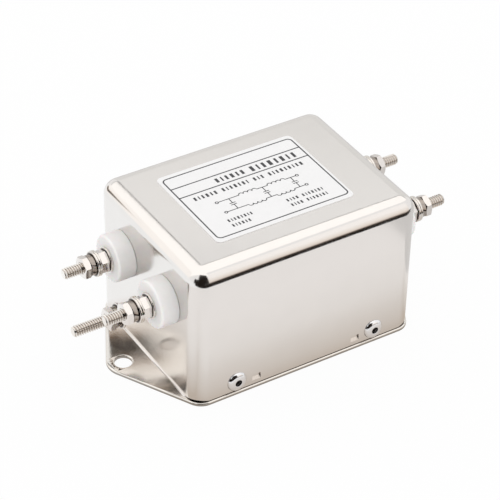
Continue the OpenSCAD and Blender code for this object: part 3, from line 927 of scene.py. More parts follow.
@dataclass
class Rivets:
    """The blind rivets along the lower edge of the long sides, with their broken mandrels.

    The broken end is drawn as (share of the mandrel's radius, drop below its top).
    """

    x: float = 27.0
    z: float = 5.2
    head_r: float = 3.6
    head_ease: float = 0.1
    crown_h: float = 1.24
    crown_r: float = 12.0
    crown_reach: float = 2.4
    crown_steps: int = 4
    roll_r: float = 1.7
    roll_deg: float = 25.0
    roll_steps: int = 10
    lip: float = 0.25
    lip_ease: float = 0.07
    body_r: float = 2.0
    bulb_r: float = 2.4
    bulb_ease: float = 0.4
    grip: float = 1.9
    bulb_l: float = 3.0
    bore_r: float = 1.2
    mandrel_r: float = 1.15
    recess: float = 1.5
    mandrel_head_r: float = 1.725
    mandrel_head_h: float = 1.2
    mandrel_ease: float = 0.3
    broken_end: Sequence[Point] = ((1.0, 0.35), (0.75, 0.0), (0.3, 0.2), (0.0, 0.15))
    steps: int = 48

    def build(self) -> list[Object]:
        """Model and dress the rivets and mandrels.

        Returns:
            The two pieces.
        """
        rivets = gather((lathe(self._rivet_profile(), self.steps), p) for p in self.places())
        mandrels = gather((lathe(self._mandrel_profile(), self.steps, False), p)
                          for p in self.places())
        return [make_piece("blind_rivets", rivets, RIVET_ALLOY, ["cover_rivets"]),
                make_piece("mandrel_ends", mandrels, MANDREL_STEEL, ["rivet_mandrels"])]

    def places(self) -> list[Matrix]:
        """Give the four places, two on each long side."""
        return [side_place(x, self.z, turn) for turn in (0.0, math.pi) for x in (-self.x, self.x)]

    def _rivet_profile(self) -> list[Point]:
        """Draw half of a rivet: domed head, body, set bulb and bore.

        Returns:
            The closed profile.
        """
        start = self.bore_r + self.lip
        middle = (0.0, self.crown_h - math.sqrt(self.crown_r ** 2 - start ** 2))
        inner, outer = (math.degrees(math.acos(r / self.crown_r))
                        for r in (start, self.crown_reach))
        crown = fillet(middle, self.crown_r, outer, inner, self.crown_steps)
        share = 1.0 - self.roll_r / self.crown_r
        roll_at = (share * crown[0][0], middle[1] + share * (crown[0][1] - middle[1]))
        roll = fillet(roll_at, self.roll_r, self.roll_deg, outer, self.roll_steps)
        mouth = crown[-1][1]
        back = -self.grip
        tail = back - self.bulb_l
        return ([(self.body_r, 0.0), (self.head_r - self.head_ease, 0.0)] + roll[:-1] + crown
                + [(self.bore_r + self.lip_ease, mouth - self.lip_ease),
                   (self.bore_r, mouth - self.lip), (self.bore_r, tail),
                   (self.bulb_r - self.bulb_ease, tail), (self.bulb_r, tail + self.bulb_ease),
                   (self.bulb_r, back), (self.body_r, back)])

    def _mandrel_profile(self) -> list[Point]:
        """Draw half of a mandrel: head behind the bulb, stem and broken end.

        Returns:
            The profile, open along the axis.
        """
        top = self.crown_h - self.recess
        tail = -self.grip - self.bulb_l
        foot = tail - self.mandrel_head_h
        head = [(0.0, foot), (self.mandrel_head_r - self.mandrel_ease, foot),
                (self.mandrel_head_r, foot + self.mandrel_ease), (self.mandrel_head_r, tail),
                (self.mandrel_r, tail)]
        return head + [(share * self.mandrel_r, top - drop) for share, drop in self.broken_end]


@dataclass
class Bushings:
    """The white insulators that stand out of the end walls round the terminals."""

    radius: float = 8.3
    height: float = 6.5
    edge_r: float = 0.9
    edge_steps: int = 8
    foot_r: float = 0.25
    foot_steps: int = 4
    spigot_r: float = 5.0
    spigot_l: float = 1.8
    bore_r: float = 2.15
    steps: int = 96

    def build(self) -> list[Object]:
        """Model and dress the four bushings.

        Returns:
            The pieces.
        """
        made = []
        for number, stand in enumerate(TERMINALS, 1):
            body = gather([(lathe(self._profile(), self.steps), stand.place(0.0))])
            made.append(make_piece(f"bushing_{number}", body, WHITE_NYLON,
                                   [f"outer_bushing_{number}"]))
        return made

    def _profile(self) -> list[Point]:
        """Draw half of a bushing: spigot, flange with rounded edges, and bore.

        Returns:
            The closed profile.
        """
        front = fillet((self.radius - self.edge_r, self.height - self.edge_r), self.edge_r, 0, 90,
                       self.edge_steps)
        foot = fillet((self.radius - self.foot_r, self.foot_r), self.foot_r, -90, 0,
                      self.foot_steps)
        return ([(self.bore_r, -self.spigot_l), (self.spigot_r, -self.spigot_l),
                 (self.spigot_r, 0.0)] + foot + front + [(self.bore_r, self.height)])


@dataclass
class Thread:
    """A screw thread as a cut helix.

    The tooth is drawn as (share of the thread's depth, share of the pitch).
    """

    diameter: float = 4.0
    pitch: float = 0.86
    depth_share: float = 0.5
    tooth: Sequence[Point] = ((0.0, 0.0), (0.0, 0.12), (1.0, 0.44), (1.0, 0.56), (0.0, 0.88),
                              (0.0, 1.0))
    steps: int = 28
    spare_turns: int = 2
    merge_gap: float = 0.002
    point: float = 0.5
    cap_rim: float = 0.04

    @property
    def root_r(self) -> float:
        """Give the radius at the bottom of the thread."""
        return self.diameter / 2 - self.depth_share * self.pitch

    def stretch(self, start: float, end: float, pointed: bool) -> BMesh:
        """Cut a length of thread along local Z.

        Args:
            start: Height of the lower end.
            end: Height of the upper end.
            pointed: Whether the upper end is the screw's chamfered tip.

        Returns:
            The closed length of thread.
        """
        crest, root = self.diameter / 2, self.root_r
        low = start - self.pitch
        bm = bmesh.new()
        verts = [bm.verts.new((root + r * (crest - root), 0.0, low + z * self.pitch))
                 for r, z in self.tooth]
        edges = [bm.edges.new(pair) for pair in zip(verts, verts[1:])]
        turns = math.ceil((end - start) / self.pitch) + self.spare_turns
        bmesh.ops.spin(bm, geom=verts + edges, cent=(0, 0, 0), axis=(0, 0, 1),
                       dvec=(0, 0, self.pitch / self.steps), angle=math.tau * turns,
                       steps=self.steps * turns)
        bmesh.ops.remove_doubles(bm, verts=bm.verts[:], dist=self.merge_gap)
        # Painted shade in the thread, deepest in its roots.
        depth = bm.verts.layers.float.new(PAINTED_SHADE_LAYER)
        for vert in bm.verts:
            vert[depth] = (crest - vert.co.xy.length) / (crest - root)
        for height, up in ((start, -1), (end, 1)):
            cut = bmesh.ops.bisect_plane(bm, geom=bm.verts[:] + bm.edges[:] + bm.faces[:],
                                         plane_co=(0, 0, height), plane_no=(0, 0, up),
                                         clear_outer=True)["geom_cut"]
            rim = [g for g in cut if isinstance(g, BMEdge)]
            cap = bmesh.ops.edgeloop_fill(bm, edges=rim)["faces"]
            bmesh.ops.inset_individual(bm, faces=cap, thickness=self.cap_rim)
            # The cut ends carry no painted shade.
            for vert in {v for f in cap for v in f.verts}:
                vert[depth] = 0.0
        if pointed:
            self._chamfer(bm, end)
        bmesh.ops.recalc_face_normals(bm, faces=bm.faces[:])
        return bm

    def _chamfer(self, bm: BMesh, end: float) -> None:
        """Draw the thread in to a cone at the screw's tip.

        Args:
            bm: The length of thread.
            end: Height of the tip.
        """
        for vert in bm.verts:
            allowed = self.diameter / 2 - self.point + (end - vert.co.z)
            radius = math.hypot(vert.co.x, vert.co.y)
            if radius > allowed:
                vert.co.xy *= allowed / radius


@dataclass
class Hexagon:
    """Hexagon nuts and screw heads with turned chamfers."""

    across_flats: float = 7.0
    height: float = 3.2
    land: float = 0.97
    chamfer_deg: float = 30.0
    sink: float = 0.35
    steps_a_side: int = 12

    def body(self, bore_r: float, both_ends: bool = True) -> BMesh:
        """Turn a blank and mill its six flats.

        Args:
            bore_r: Radius of the bore, or 0 for a screw head.
            both_ends: Whether both ends are chamfered.

        Returns:
            The body, which stands on local Z = 0.
        """
        tip_r = self.across_flats / 2 / math.cos(math.pi / 6)
        land_r = self.across_flats / 2 * self.land
        top = [(tip_r, self.height - self._drop(tip_r)), (land_r, self.height)]
        foot = [(land_r, 0.0), (tip_r, self._drop(tip_r))] if both_ends else [(tip_r, 0.0)]
        steps = 6 * self.steps_a_side
        if bore_r > 0.0:
            bore = [(bore_r + self.sink, self.height), (bore_r, self.height - self.sink),
                    (bore_r, self.sink), (bore_r + self.sink, 0.0)]
            bm = lathe(bore + foot + top, steps)
        else:
            bm = lathe([(0.0, 0.0)] + foot + top + [(0.0, self.height)], steps, False)
        self._mill(bm, tip_r, both_ends)
        return bm

    def _drop(self, radius: float) -> float:
        """Give how far the chamfer's cone has dropped at a radius."""
        land_r = self.across_flats / 2 * self.land
        return (radius - land_r) * math.tan(math.radians(self.chamfer_deg))

    def _mill(self, bm: BMesh, tip_r: float, both_ends: bool) -> None:
        """Draw the blank's outer wall in to the six flats, along the chamfers.

        Args:
            bm: The turned blank.
            tip_r: Radius of the blank.
            both_ends: Whether the lower end is chamfered too.
        """
        sixth = math.pi / 3
        for vert in bm.verts:
            radius = math.hypot(vert.co.x, vert.co.y)
            if radius < tip_r - TOUCH:
                continue
            turn = math.atan2(vert.co.y, vert.co.x) % sixth
            flat_r = self.across_flats / 2 / math.cos(turn if turn < sixth / 2 else turn - sixth)
            vert.co.xy *= flat_r / radius
            if vert.co.z > self.height / 2:
                vert.co.z = self.height - self._drop(flat_r)
            elif both_ends:
                vert.co.z = self._drop(flat_r)


@dataclass
class StudHardware:
    """Screws, nuts and washers on the four terminals and the earth stud."""

    clamped_r: float = 1.7725
    bore_play: float = 0.05
    washer_r: float = 4.5
    washer_bore_r: float = 2.15
    washer_t: float = 0.8
    washer_ease: float = 0.18
    washer_ease_steps: int = 3
    washer_gap: float = 0.02
    spring_r: float = 3.6
    spring_t: float = 1.9
    spring_ease: float = 0.15
    spring_ease_steps: int = 2
    outer_nut_h: float = 2.4
    slit_deg: float = 12.0
    slit_lean_deg: float = 16.0
    # Width of the band of painted shade inside a washer's rim.
    washer_shade_band: float = 0.45
    jam_rolls: Sequence[float] = (30.0, 24.0, 36.0, 27.0, 30.0)
    nut_rolls: Sequence[float] = (32.0, 22.0, 28.0, 38.0, 14.0)
    head_h: float = 2.8
    seat_at: float = 6.5
    reach: float = 23.0
    lug_at: float = -4.4
    earth_slack: float = 5.8
    earth_reach: float = 27.3
    earth_lug_at: float = -1.4
    shank_play: float = 0.02
    head_overlap: float = 0.1
    thread_overlap: float = 0.2
    thread: Thread = field(default_factory=Thread)
    hexagon: Hexagon = field(default_factory=Hexagon)
    steps: int = 72
    shank_steps: int = 32
    screw_sharp_deg: float = 40.0

    @property
    def jam_at(self) -> float:
        """Give the place of a terminal's inner nut."""
        return self.seat_at + self.washer_t

    @property
    def clamp_at(self) -> float:
        """Give the place of a terminal's first clamping washer."""
        return self.jam_at + self.hexagon.height

    @property
    def spring_at(self) -> float:
        """Give the place of a terminal's spring washer."""
        return self.clamp_at + 2 * (self.washer_t + self.washer_gap)

    @property
    def nut_at(self) -> float:
        """Give the place of a terminal's outer nut."""
        return self.spring_at + self.spring_t

    @property
    def earth_clamp_at(self) -> float:
        """Give the place of the earth stud's clamping washer."""
        return self.washer_t + self.hexagon.height + self.earth_slack

    @property
    def earth_nut_at(self) -> float:
        """Give the place of the earth stud's outer nut."""
        return self.earth_clamp_at + self.washer_t + self.spring_t

    @property
    def inside_nut(self) -> float:
        """Give how far inside a nut a free length of thread starts."""
        return 0.5 * self.hexagon.height

    def build(self) -> list[Object]:
        """Model and dress all the hardware.

        Returns:
            The pieces.
        """
        seats = self._places(self.seat_at, 0.0)
        clamps = [s.place(self.clamp_at + k * (self.washer_t + self.washer_gap))
                  for s in TERMINALS for k in (0, 1)] + [EARTH.place(self.earth_clamp_at)]
        springs = self._places(self.spring_at, self.earth_clamp_at + self.washer_t)
        jams = self._places(self.jam_at, self.washer_t, self.jam_rolls)
        nuts = self._places(self.nut_at, self.earth_nut_at, self.nut_rolls)
        sets = (
            ("seat_washer_set", "seat_washers", TURNED_STEEL, self._washer, seats),
            ("clamp_washer_set", "clamp_washers", TURNED_STEEL, self._washer, clamps),
            ("spring_washer_set", "spring_washers", SPRING_STEEL, self._spring_washer, springs),
            ("jam_nut_set", "jam_nuts", BRIGHT_STEEL, partial(self._nut, self.hexagon.height), jams),
            ("outer_nut_set", "terminal_nuts", BRIGHT_STEEL, partial(self._nut, self.outer_nut_h),
             nuts),
        )
        made = [make_piece(name, gather((body(), p) for p in places), finish, [node])
                for name, node, finish, body, places in sets]
        tip = (self.nut_at + self.inside_nut, self.reach, True)
        made += [self._screw(f"terminal_stud_{number}", f"terminal_screw_{number}", stand,
                             self.lug_at, [tip]) for number, stand in enumerate(TERMINALS, 1)]
        slack = (self.inside_nut + self.washer_t, self.earth_clamp_at + self.washer_t, False)
        tip = (self.earth_nut_at + self.inside_nut, self.earth_reach, True)
        made.append(self._screw("earth_stud", "earth_screw", EARTH, self.earth_lug_at,
                                [slack, tip]))
        return made

    @staticmethod
    def _places(out: float, earth_out: float, rolls: Sequence[float] = UNROLLED) -> list[Matrix]:
        """Give a place on each stud.

        Args:
            out: Distance from the wall on a terminal.
            earth_out: Distance from the wall on the earth stud.
            rolls: Turns round the studs in degrees, the earth stud's last.

        Returns:
            The places, the earth stud's last.
        """
        made = [s.place(out, roll) for s, roll in zip(TERMINALS, rolls)]
        return made + [EARTH.place(earth_out, rolls[-1])]

    def _nut(self, height: float) -> BMesh:
        """Make one nut with a plain bore at the thread's mean radius, with painted shade on its seat
        and in its bore.

        Args:
            height: How thick the nut is.

        Returns:
            The nut, which stands on local Z = 0.
        """
        bm = Hexagon(self.hexagon.across_flats, height).body(self.clamped_r + self.bore_play)
        # Painted shade on the nut's seat face and in its bore, where it meets the washer and the
        # screw.
        depth = bm.verts.layers.float.new(PAINTED_SHADE_LAYER)
        for vert in bm.verts:
            at_seat = vert.co.z < NEAR or vert.co.xy.length < self.clamped_r + CLOSE
            vert[depth] = 1.0 * at_seat
        return bm

    def _paint_washer_shade(self, bm: BMesh, rim_r: float) -> None:
        """Paint shade on a washer inside its rim, where its neighbours press on it.

        Args:
            bm: The washer.
            rim_r: Radius at which the painted shade ends.
        """
        depth = bm.verts.layers.float.new(PAINTED_SHADE_LAYER)
        for vert in bm.verts:
            vert[depth] = min(1.0, max(0.0, (rim_r - vert.co.xy.length) / self.washer_shade_band))

    @staticmethod
    def _rim(radius: float, height: float, ease: float, steps: int) -> list[Point]:
        """Draw the eased outer edge of a washer.

        Args:
            radius: Radius of the washer.
            height: Thickness of the washer.
            ease: Radius of the easing.
            steps: Stretches along each easing.

        Returns:
            The points from the lower face to the upper one.
        """
        return (fillet((radius - ease, ease), ease, -90, 0, steps)
                + fillet((radius - ease, height - ease), ease, 0, 90, steps))

    def _washer(self) -> BMesh:
        """Make one stamped flat washer with eased edges.

        Returns:
            The washer, which stands on local Z = 0.
        """
        rim_r = self.washer_r - self.washer_ease
        inner = rim_r - self.washer_shade_band
        bore = [(inner, self.washer_t), (self.washer_bore_r, self.washer_t),
                (self.washer_bore_r, 0.0), (inner, 0.0)]
        rim = self._rim(self.washer_r, self.washer_t, self.washer_ease, self.washer_ease_steps)
        bm = lathe(rim + bore, self.steps)
        self._paint_washer_shade(bm, rim_r)
        return bm

    def _spring_washer(self) -> BMesh:
        """Make one split spring washer, clamped flat, with a slanted slit.

        Returns:
            The washer, which stands on local Z = 0.
        """
        rim = self._rim(self.spring_r, self.spring_t, self.spring_ease, self.spring_ease_steps)
        bore = [(self.washer_bore_r, self.spring_t), (self.washer_bore_r, 0.0)]
        bm = swing(rim + bore, self.slit_deg / 2, 360.0 - self.slit_deg, self.steps)
        for vert in bm.verts:
            share = vert.co.z / self.spring_t - 0.5
            vert.co.xy = Matrix.Rotation(math.radians(share * self.slit_lean_deg), 2) @ vert.co.xy
        tidy(bm)
        self._paint_washer_shade(bm, self.spring_r)
        return bm

    def _screw(self, name: str, node: str, stand: Stand, head_at: float,
               free: Sequence[tuple[float, float, bool]]) -> Object:
        """Make one screw: head, clamped shank and its free lengths of thread.

        Args:
            name: Name of the piece.
            node: CAD node that it stands for.
            stand: Where the screw stands.
            head_at: Place of the head's seat.
            free: Lengths of thread as (start, end, whether it ends in the tip).

        Returns:
            The piece.
        """
        head = Hexagon(self.hexagon.across_flats, self.head_h).body(0.0, False)
        turned_in = Matrix.Rotation(math.pi, 4, "X")
        shank_r = self.thread.root_r - self.shank_play
        low, high = head_at - self.head_overlap, free[-1][0] + self.thread_overlap
        shank = [(0.0, low), (shank_r, low), (shank_r, high), (0.0, high)]
        parts = [(self.thread.stretch(*length), stand.place(0.0)) for length in free]
        parts += [(head, stand.place(head_at) @ turned_in),
                  (lathe(shank, self.shank_steps, False), stand.place(0.0))]
        return make_piece(name, gather(parts), CUT_THREAD, [node], self.screw_sharp_deg)


@dataclass
class TopLabel:
    """The white label on the cover, with a plain generic print of lines and blocks.

    Places in the print run from its left frame line and down from its upper one. A row of blocks
    is (place along, place down, height, numbers of blocks in its groups).
    """

    corner_r: float = 2.0
    corner_steps: int = 10
    ink_t: float = 0.01
    frame_w: float = 50.1
    frame_h: float = 36.7
    frame_x: float = -1.0
    frame_y: float = 0.55
    frame_r: float = 1.6
    line: float = 0.48
    thin_line: float = 0.34
    rules: Sequence[float] = (6.0, 11.6)
    rows: Sequence[tuple[float, float, float, Sequence[int]]] = (
        (15.5, 8.9, 2.4, (6,)), (29.0, 8.9, 2.9, (8,)), (4.0, 14.4, 1.9, (6, 7, 3, 9)),
        (7.5, 30.0, 1.5, (8,)), (7.5, 32.9, 1.5, (6,)), (30.0, 30.0, 1.5, (4, 7)),
        (30.0, 32.9, 1.5, (4, 7)))
    block_widths: Sequence[float] = (0.42, 0.24, 0.36, 0.46, 0.30)
    block_gap: float = 0.46
    group_gap: float = 0.7
    rails: Point = (19.6, 25.6)
    rail_ends: Point = (10.0, 40.0)
    coil_x: Sequence[float] = (18.0, 29.0)
    coil_bows: int = 4
    bow_r: float = 0.85
    bow_steps: int = 16
    dot_r: float = 0.5
    dot_steps: int = 24
    plate_x: Sequence[float] = (14.0, 26.9, 38.0)
    plate_w: float = 2.2
    plate_off: float = 0.45
    low: Vector = field(default_factory=lambda: box_mm("top_label")[0])
    high: Vector = field(default_factory=lambda: box_mm("top_label")[1])

    def build(self) -> list[Object]:
        """Model and dress the film and its print.

        Returns:
            The two pieces.
        """
        film = make_piece("label_sheet", self._film(), LABEL_FILM, ["top_label"])
        marks = self._frame() + self._block_rows() + self._diagram()
        return [film, make_piece("label_print", gather(marks), PRINT_INK)]

    def _film(self) -> BMesh:
        """Cut the film with round corners.

        Returns:
            The film as a thin sheet.
        """
        bm = bmesh.new()
        bmesh.ops.create_grid(bm, x_segments=1, y_segments=1, size=0.5)
        size = self.high - self.low
        bmesh.ops.scale(bm, vec=(size.x, size.y, 1.0), verts=bm.verts[:])
        middle = (self.high + self.low) / 2
        bmesh.ops.translate(bm, vec=(middle.x, middle.y, self.low.z), verts=bm.verts[:])
        bmesh.ops.bevel(bm, geom=bm.verts[:], offset=self.corner_r, offset_type="OFFSET",
                        affect="VERTICES", segments=self.corner_steps, profile=0.5, material=-1)
        draw_out(bm, bm.faces[:], (0, 0, self.high.z - self.ink_t - self.low.z))
        tidy(bm)
        return bm

    def _block(self, x: float, y: float, w: float, h: float) -> Placed:
        """Print one solid rectangle.

        Args:
            x: Middle along the print.
            y: Middle down the print.
            w: Width.
            h: Height.

        Returns:
            The mark and its place.
        """
        bm = bmesh.new()
        bmesh.ops.create_cube(bm, size=1.0)
        bmesh.ops.scale(bm, vec=(w, h, self.ink_t), verts=bm.verts[:])
        return bm, self._at(x, y)

    def _bow(self, x: float, y: float, r: float, start: float, sweep: float,
             line: float) -> Placed:
        """Print part of a ring.

        Args:
            x: Centre along the print.
            y: Centre down the print.
            r: Mean radius.
            start: First angle in degrees.
            sweep: Angle of the bow in degrees.
            line: Width of the line.

        Returns:
            The mark and its place.
        """
        bm = swing(self._section(r, line), start, sweep, self.bow_steps)
        tidy(bm)
        return bm, self._at(x, y)

    def _section(self, r: float, line: float) -> list[Point]:
        """Give the ink's section across a ring's line."""
        half, lift = line / 2, self.ink_t / 2
        return [(r - half, -lift), (r + half, -lift), (r + half, lift), (r - half, lift)]

    def _at(self, x: float, y: float) -> Matrix:
        """Give the place of a mark from its position in the print.

        Args:
            x: Place along the print.
            y: Place down the print.

        Returns:
            The place in millimetres.
        """
        left = self.frame_x - self.frame_w / 2
        top = self.frame_y + self.frame_h / 2
        return Matrix.Translation((left + x, top - y, self.high.z - self.ink_t / 2))

    def _frame(self) -> list[Placed]:
        """Print the frame line with its round corners, and the two rules.

        Returns:
            The marks.
        """
        w, h, t, r = self.frame_w, self.frame_h, self.line, self.frame_r
        marks = [self._block(w / 2, y, w - 2 * r, t) for y in (0.0, h)]
        marks += [self._block(x, h / 2, t, h - 2 * r) for x in (0.0, w)]
        marks += [self._block(w / 2, y, w, t) for y in self.rules]
        corners = ((w - r, r, 0.0), (r, r, 90.0), (r, h - r, 180.0), (w - r, h - r, 270.0))
        marks += [self._bow(x, y, r, start, 90.0, t) for x, y, start in corners]
        return marks

    def _block_rows(self) -> list[Placed]:
        """Print rows of plain blocks.

        Returns:
            The marks.
        """
        marks = []
        for along, y, height, groups in self.rows:
            for count in groups:
                for k in range(count):
                    width = height * self.block_widths[k % len(self.block_widths)]
                    marks.append(self._block(along + width / 2, y, width, height))
                    along += width + self.block_gap * height
                along += self.group_gap * height
        return marks

    def _diagram(self) -> list[Placed]:
        """Print a generic filter diagram: two rails, coils, plates and end dots.

        Returns:
            The marks.
        """
        upper, lower = self.rails
        left, right = self.rail_ends
        marks = []
        for rail, side in ((upper, 0.0), (lower, 180.0)):
            edges = [left]
            for x in self.coil_x:
                edges += [x, x + 2 * self.coil_bows * self.bow_r]
                marks += [self._bow(x + (2 * k + 1) * self.bow_r, rail, self.bow_r, side, 180.0,
                                    self.thin_line) for k in range(self.coil_bows)]
            edges.append(right)
            for a, b in zip(edges[::2], edges[1::2]):
                marks.append(self._block((a + b) / 2, rail, b - a, self.thin_line))
            for x in (left - self.dot_r, right + self.dot_r):
                dot = lathe(self._section(self.dot_r, self.thin_line), self.dot_steps)
                marks.append((dot, self._at(x, rail)))
        middle = (upper + lower) / 2
        reach = (lower - upper) / 2 - self.plate_off
        for x in self.plate_x:
            marks += [self._block(x, middle + s * self.plate_off, self.plate_w, self.thin_line)
                      for s in (-1, 1)]
            marks += [self._block(x, middle + s * (self.plate_off + reach / 2), self.thin_line,
                                  reach) for s in (-1, 1)]
        return marks


class InnerParts:
    """CAD nodes inside the closed case, which keep their solids and get their finishes."""

    FINISHES: dict[str, Finish] = {
        "base_pan": NICKEL_PLATE, "earth_lug": BRIGHT_STEEL, "solder_lug_": BRIGHT_STEEL,
        "inner_bushing_": WHITE_NYLON, "board_posts": WHITE_NYLON, "insulating_sheet": FIBRE,
        "choke_core_": FERRITE, "choke_1_winding_": ENAMEL_COPPER,
        "choke_2_winding_": ENAMEL_COPPER, "line_wire_": ENAMEL_COPPER,
        "earth_wire": EARTH_SLEEVE, "component_board": LAMINATE, "x_capacitor_": CAP_RESIN,
        "y_capacitor_": DISC_GLAZE, "bleed_resistor": RESISTOR_BODY,
    }

    def build(self) -> list[Object]:
        """Give every inner node its finish.

        Returns:
            The nodes.
        """
        dressed = []
        for name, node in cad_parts.items():
            finish = next((f for key, f in self.FINISHES.items() if name.startswith(key)), None)
            if finish is not None:
                node.data.materials.clear()
                node.data.materials.append(finish.material())
                dressed.append(node)
        return dressed


@dataclass(frozen=True)
class Glow:
    """Brightness of a panel or a card, even or changing with the height.

    Attributes:
        name: Name of the material.
        level: Brightness by which the tones are multiplied.
        tones: Colours by height in metres, from the lowest to the highest.
    """

    name: str
    level: float
    tones: Tones

    def material(self) -> Material:
        """Build the glow's node tree.

        Returns:
            The material.
        """
        web = Shading(self.name)
        colour = (*self.tones[0][1], 1.0)
        if len(self.tones) > 1:
            colour = web.tones(web.axes()["Z"], self.tones)
        glow = web.add("Emission", {"Color": colour, "Strength": self.level})
        web.surface(glow.outputs["Emission"])
        return web.material


SOFT_PANEL = Glow("soft_panel", 1.3, [(0.0, (1.0, 0.985, 0.965))])
SIDE_PANEL = Glow("side_panel", 1.15, [(0.0, (0.10, 0.075, 0.06)), (0.02, (0.45, 0.37, 0.32)),
                                       (0.042, (0.80, 0.73, 0.66)), (0.11, (0.90, 0.85, 0.80)),
                                       (0.22, (1.0, 0.98, 0.96))])
BACK_PANEL = Glow("back_panel", 1.3, [(0.0, (0.66, 0.66, 0.65)), (0.6, (0.66, 0.66, 0.65)),
                                      (0.78, (0.62, 0.62, 0.61)), (0.96, (0.84, 0.84, 0.83))])
FAR_TABLE = Glow("far_table", 0.74, [(0.0, (1.0, 0.99, 0.98))])
LEFT_PANEL = Glow("left_panel", 1.2, [(0.0, (1.0, 0.975, 0.945))])
DARK_CARD = Glow("dark_card", 0.016, [(0.0, (1.0, 0.75, 0.6))])
ARM_CARD = Glow("arm_card", 1.0, [(0.0515, (0.80, 0.62, 0.46)), (0.0532, (0.25, 0.14, 0.07)),
                                  (0.0545, (0.008, 0.003, 0.0)), (0.0597, (0.008, 0.003, 0.0)),
                                  (0.0610, (0.30, 0.19, 0.11)), (0.0622, (1.0, 0.92, 0.84))])


@dataclass(frozen=True)
class Screen:
    """A curved upright sheet round the object, in metres.

    Attributes:
        name: Name of the sheet.
        glow: Its brightness.
        start: First bearing in degrees from +X.
        end: Last bearing in degrees.
        distance: Distance from the object.
        top: Height.
        steps: Stretches along the curve.
    """

    name: str
    glow: Glow
    start: float
    end: float
    distance: float
    top: float
    steps: int = 16

    def sheet(self) -> BMesh:
        """Swing an upright line round the object.

        Returns:
            The curved sheet.
        """
        bm = bmesh.new()
        bearing = math.radians(self.start)
        foot = self.distance * Vector((math.cos(bearing), math.sin(bearing), 0.0))
        ends = [bm.verts.new(foot), bm.verts.new(foot + Vector((0.0, 0.0, self.top)))]
        edge = bm.edges.new(ends)
        bmesh.ops.spin(bm, geom=ends + [edge], cent=(0, 0, 0), axis=(0, 0, 1),
                       angle=math.radians(self.end - self.start), steps=self.steps)
        return bm


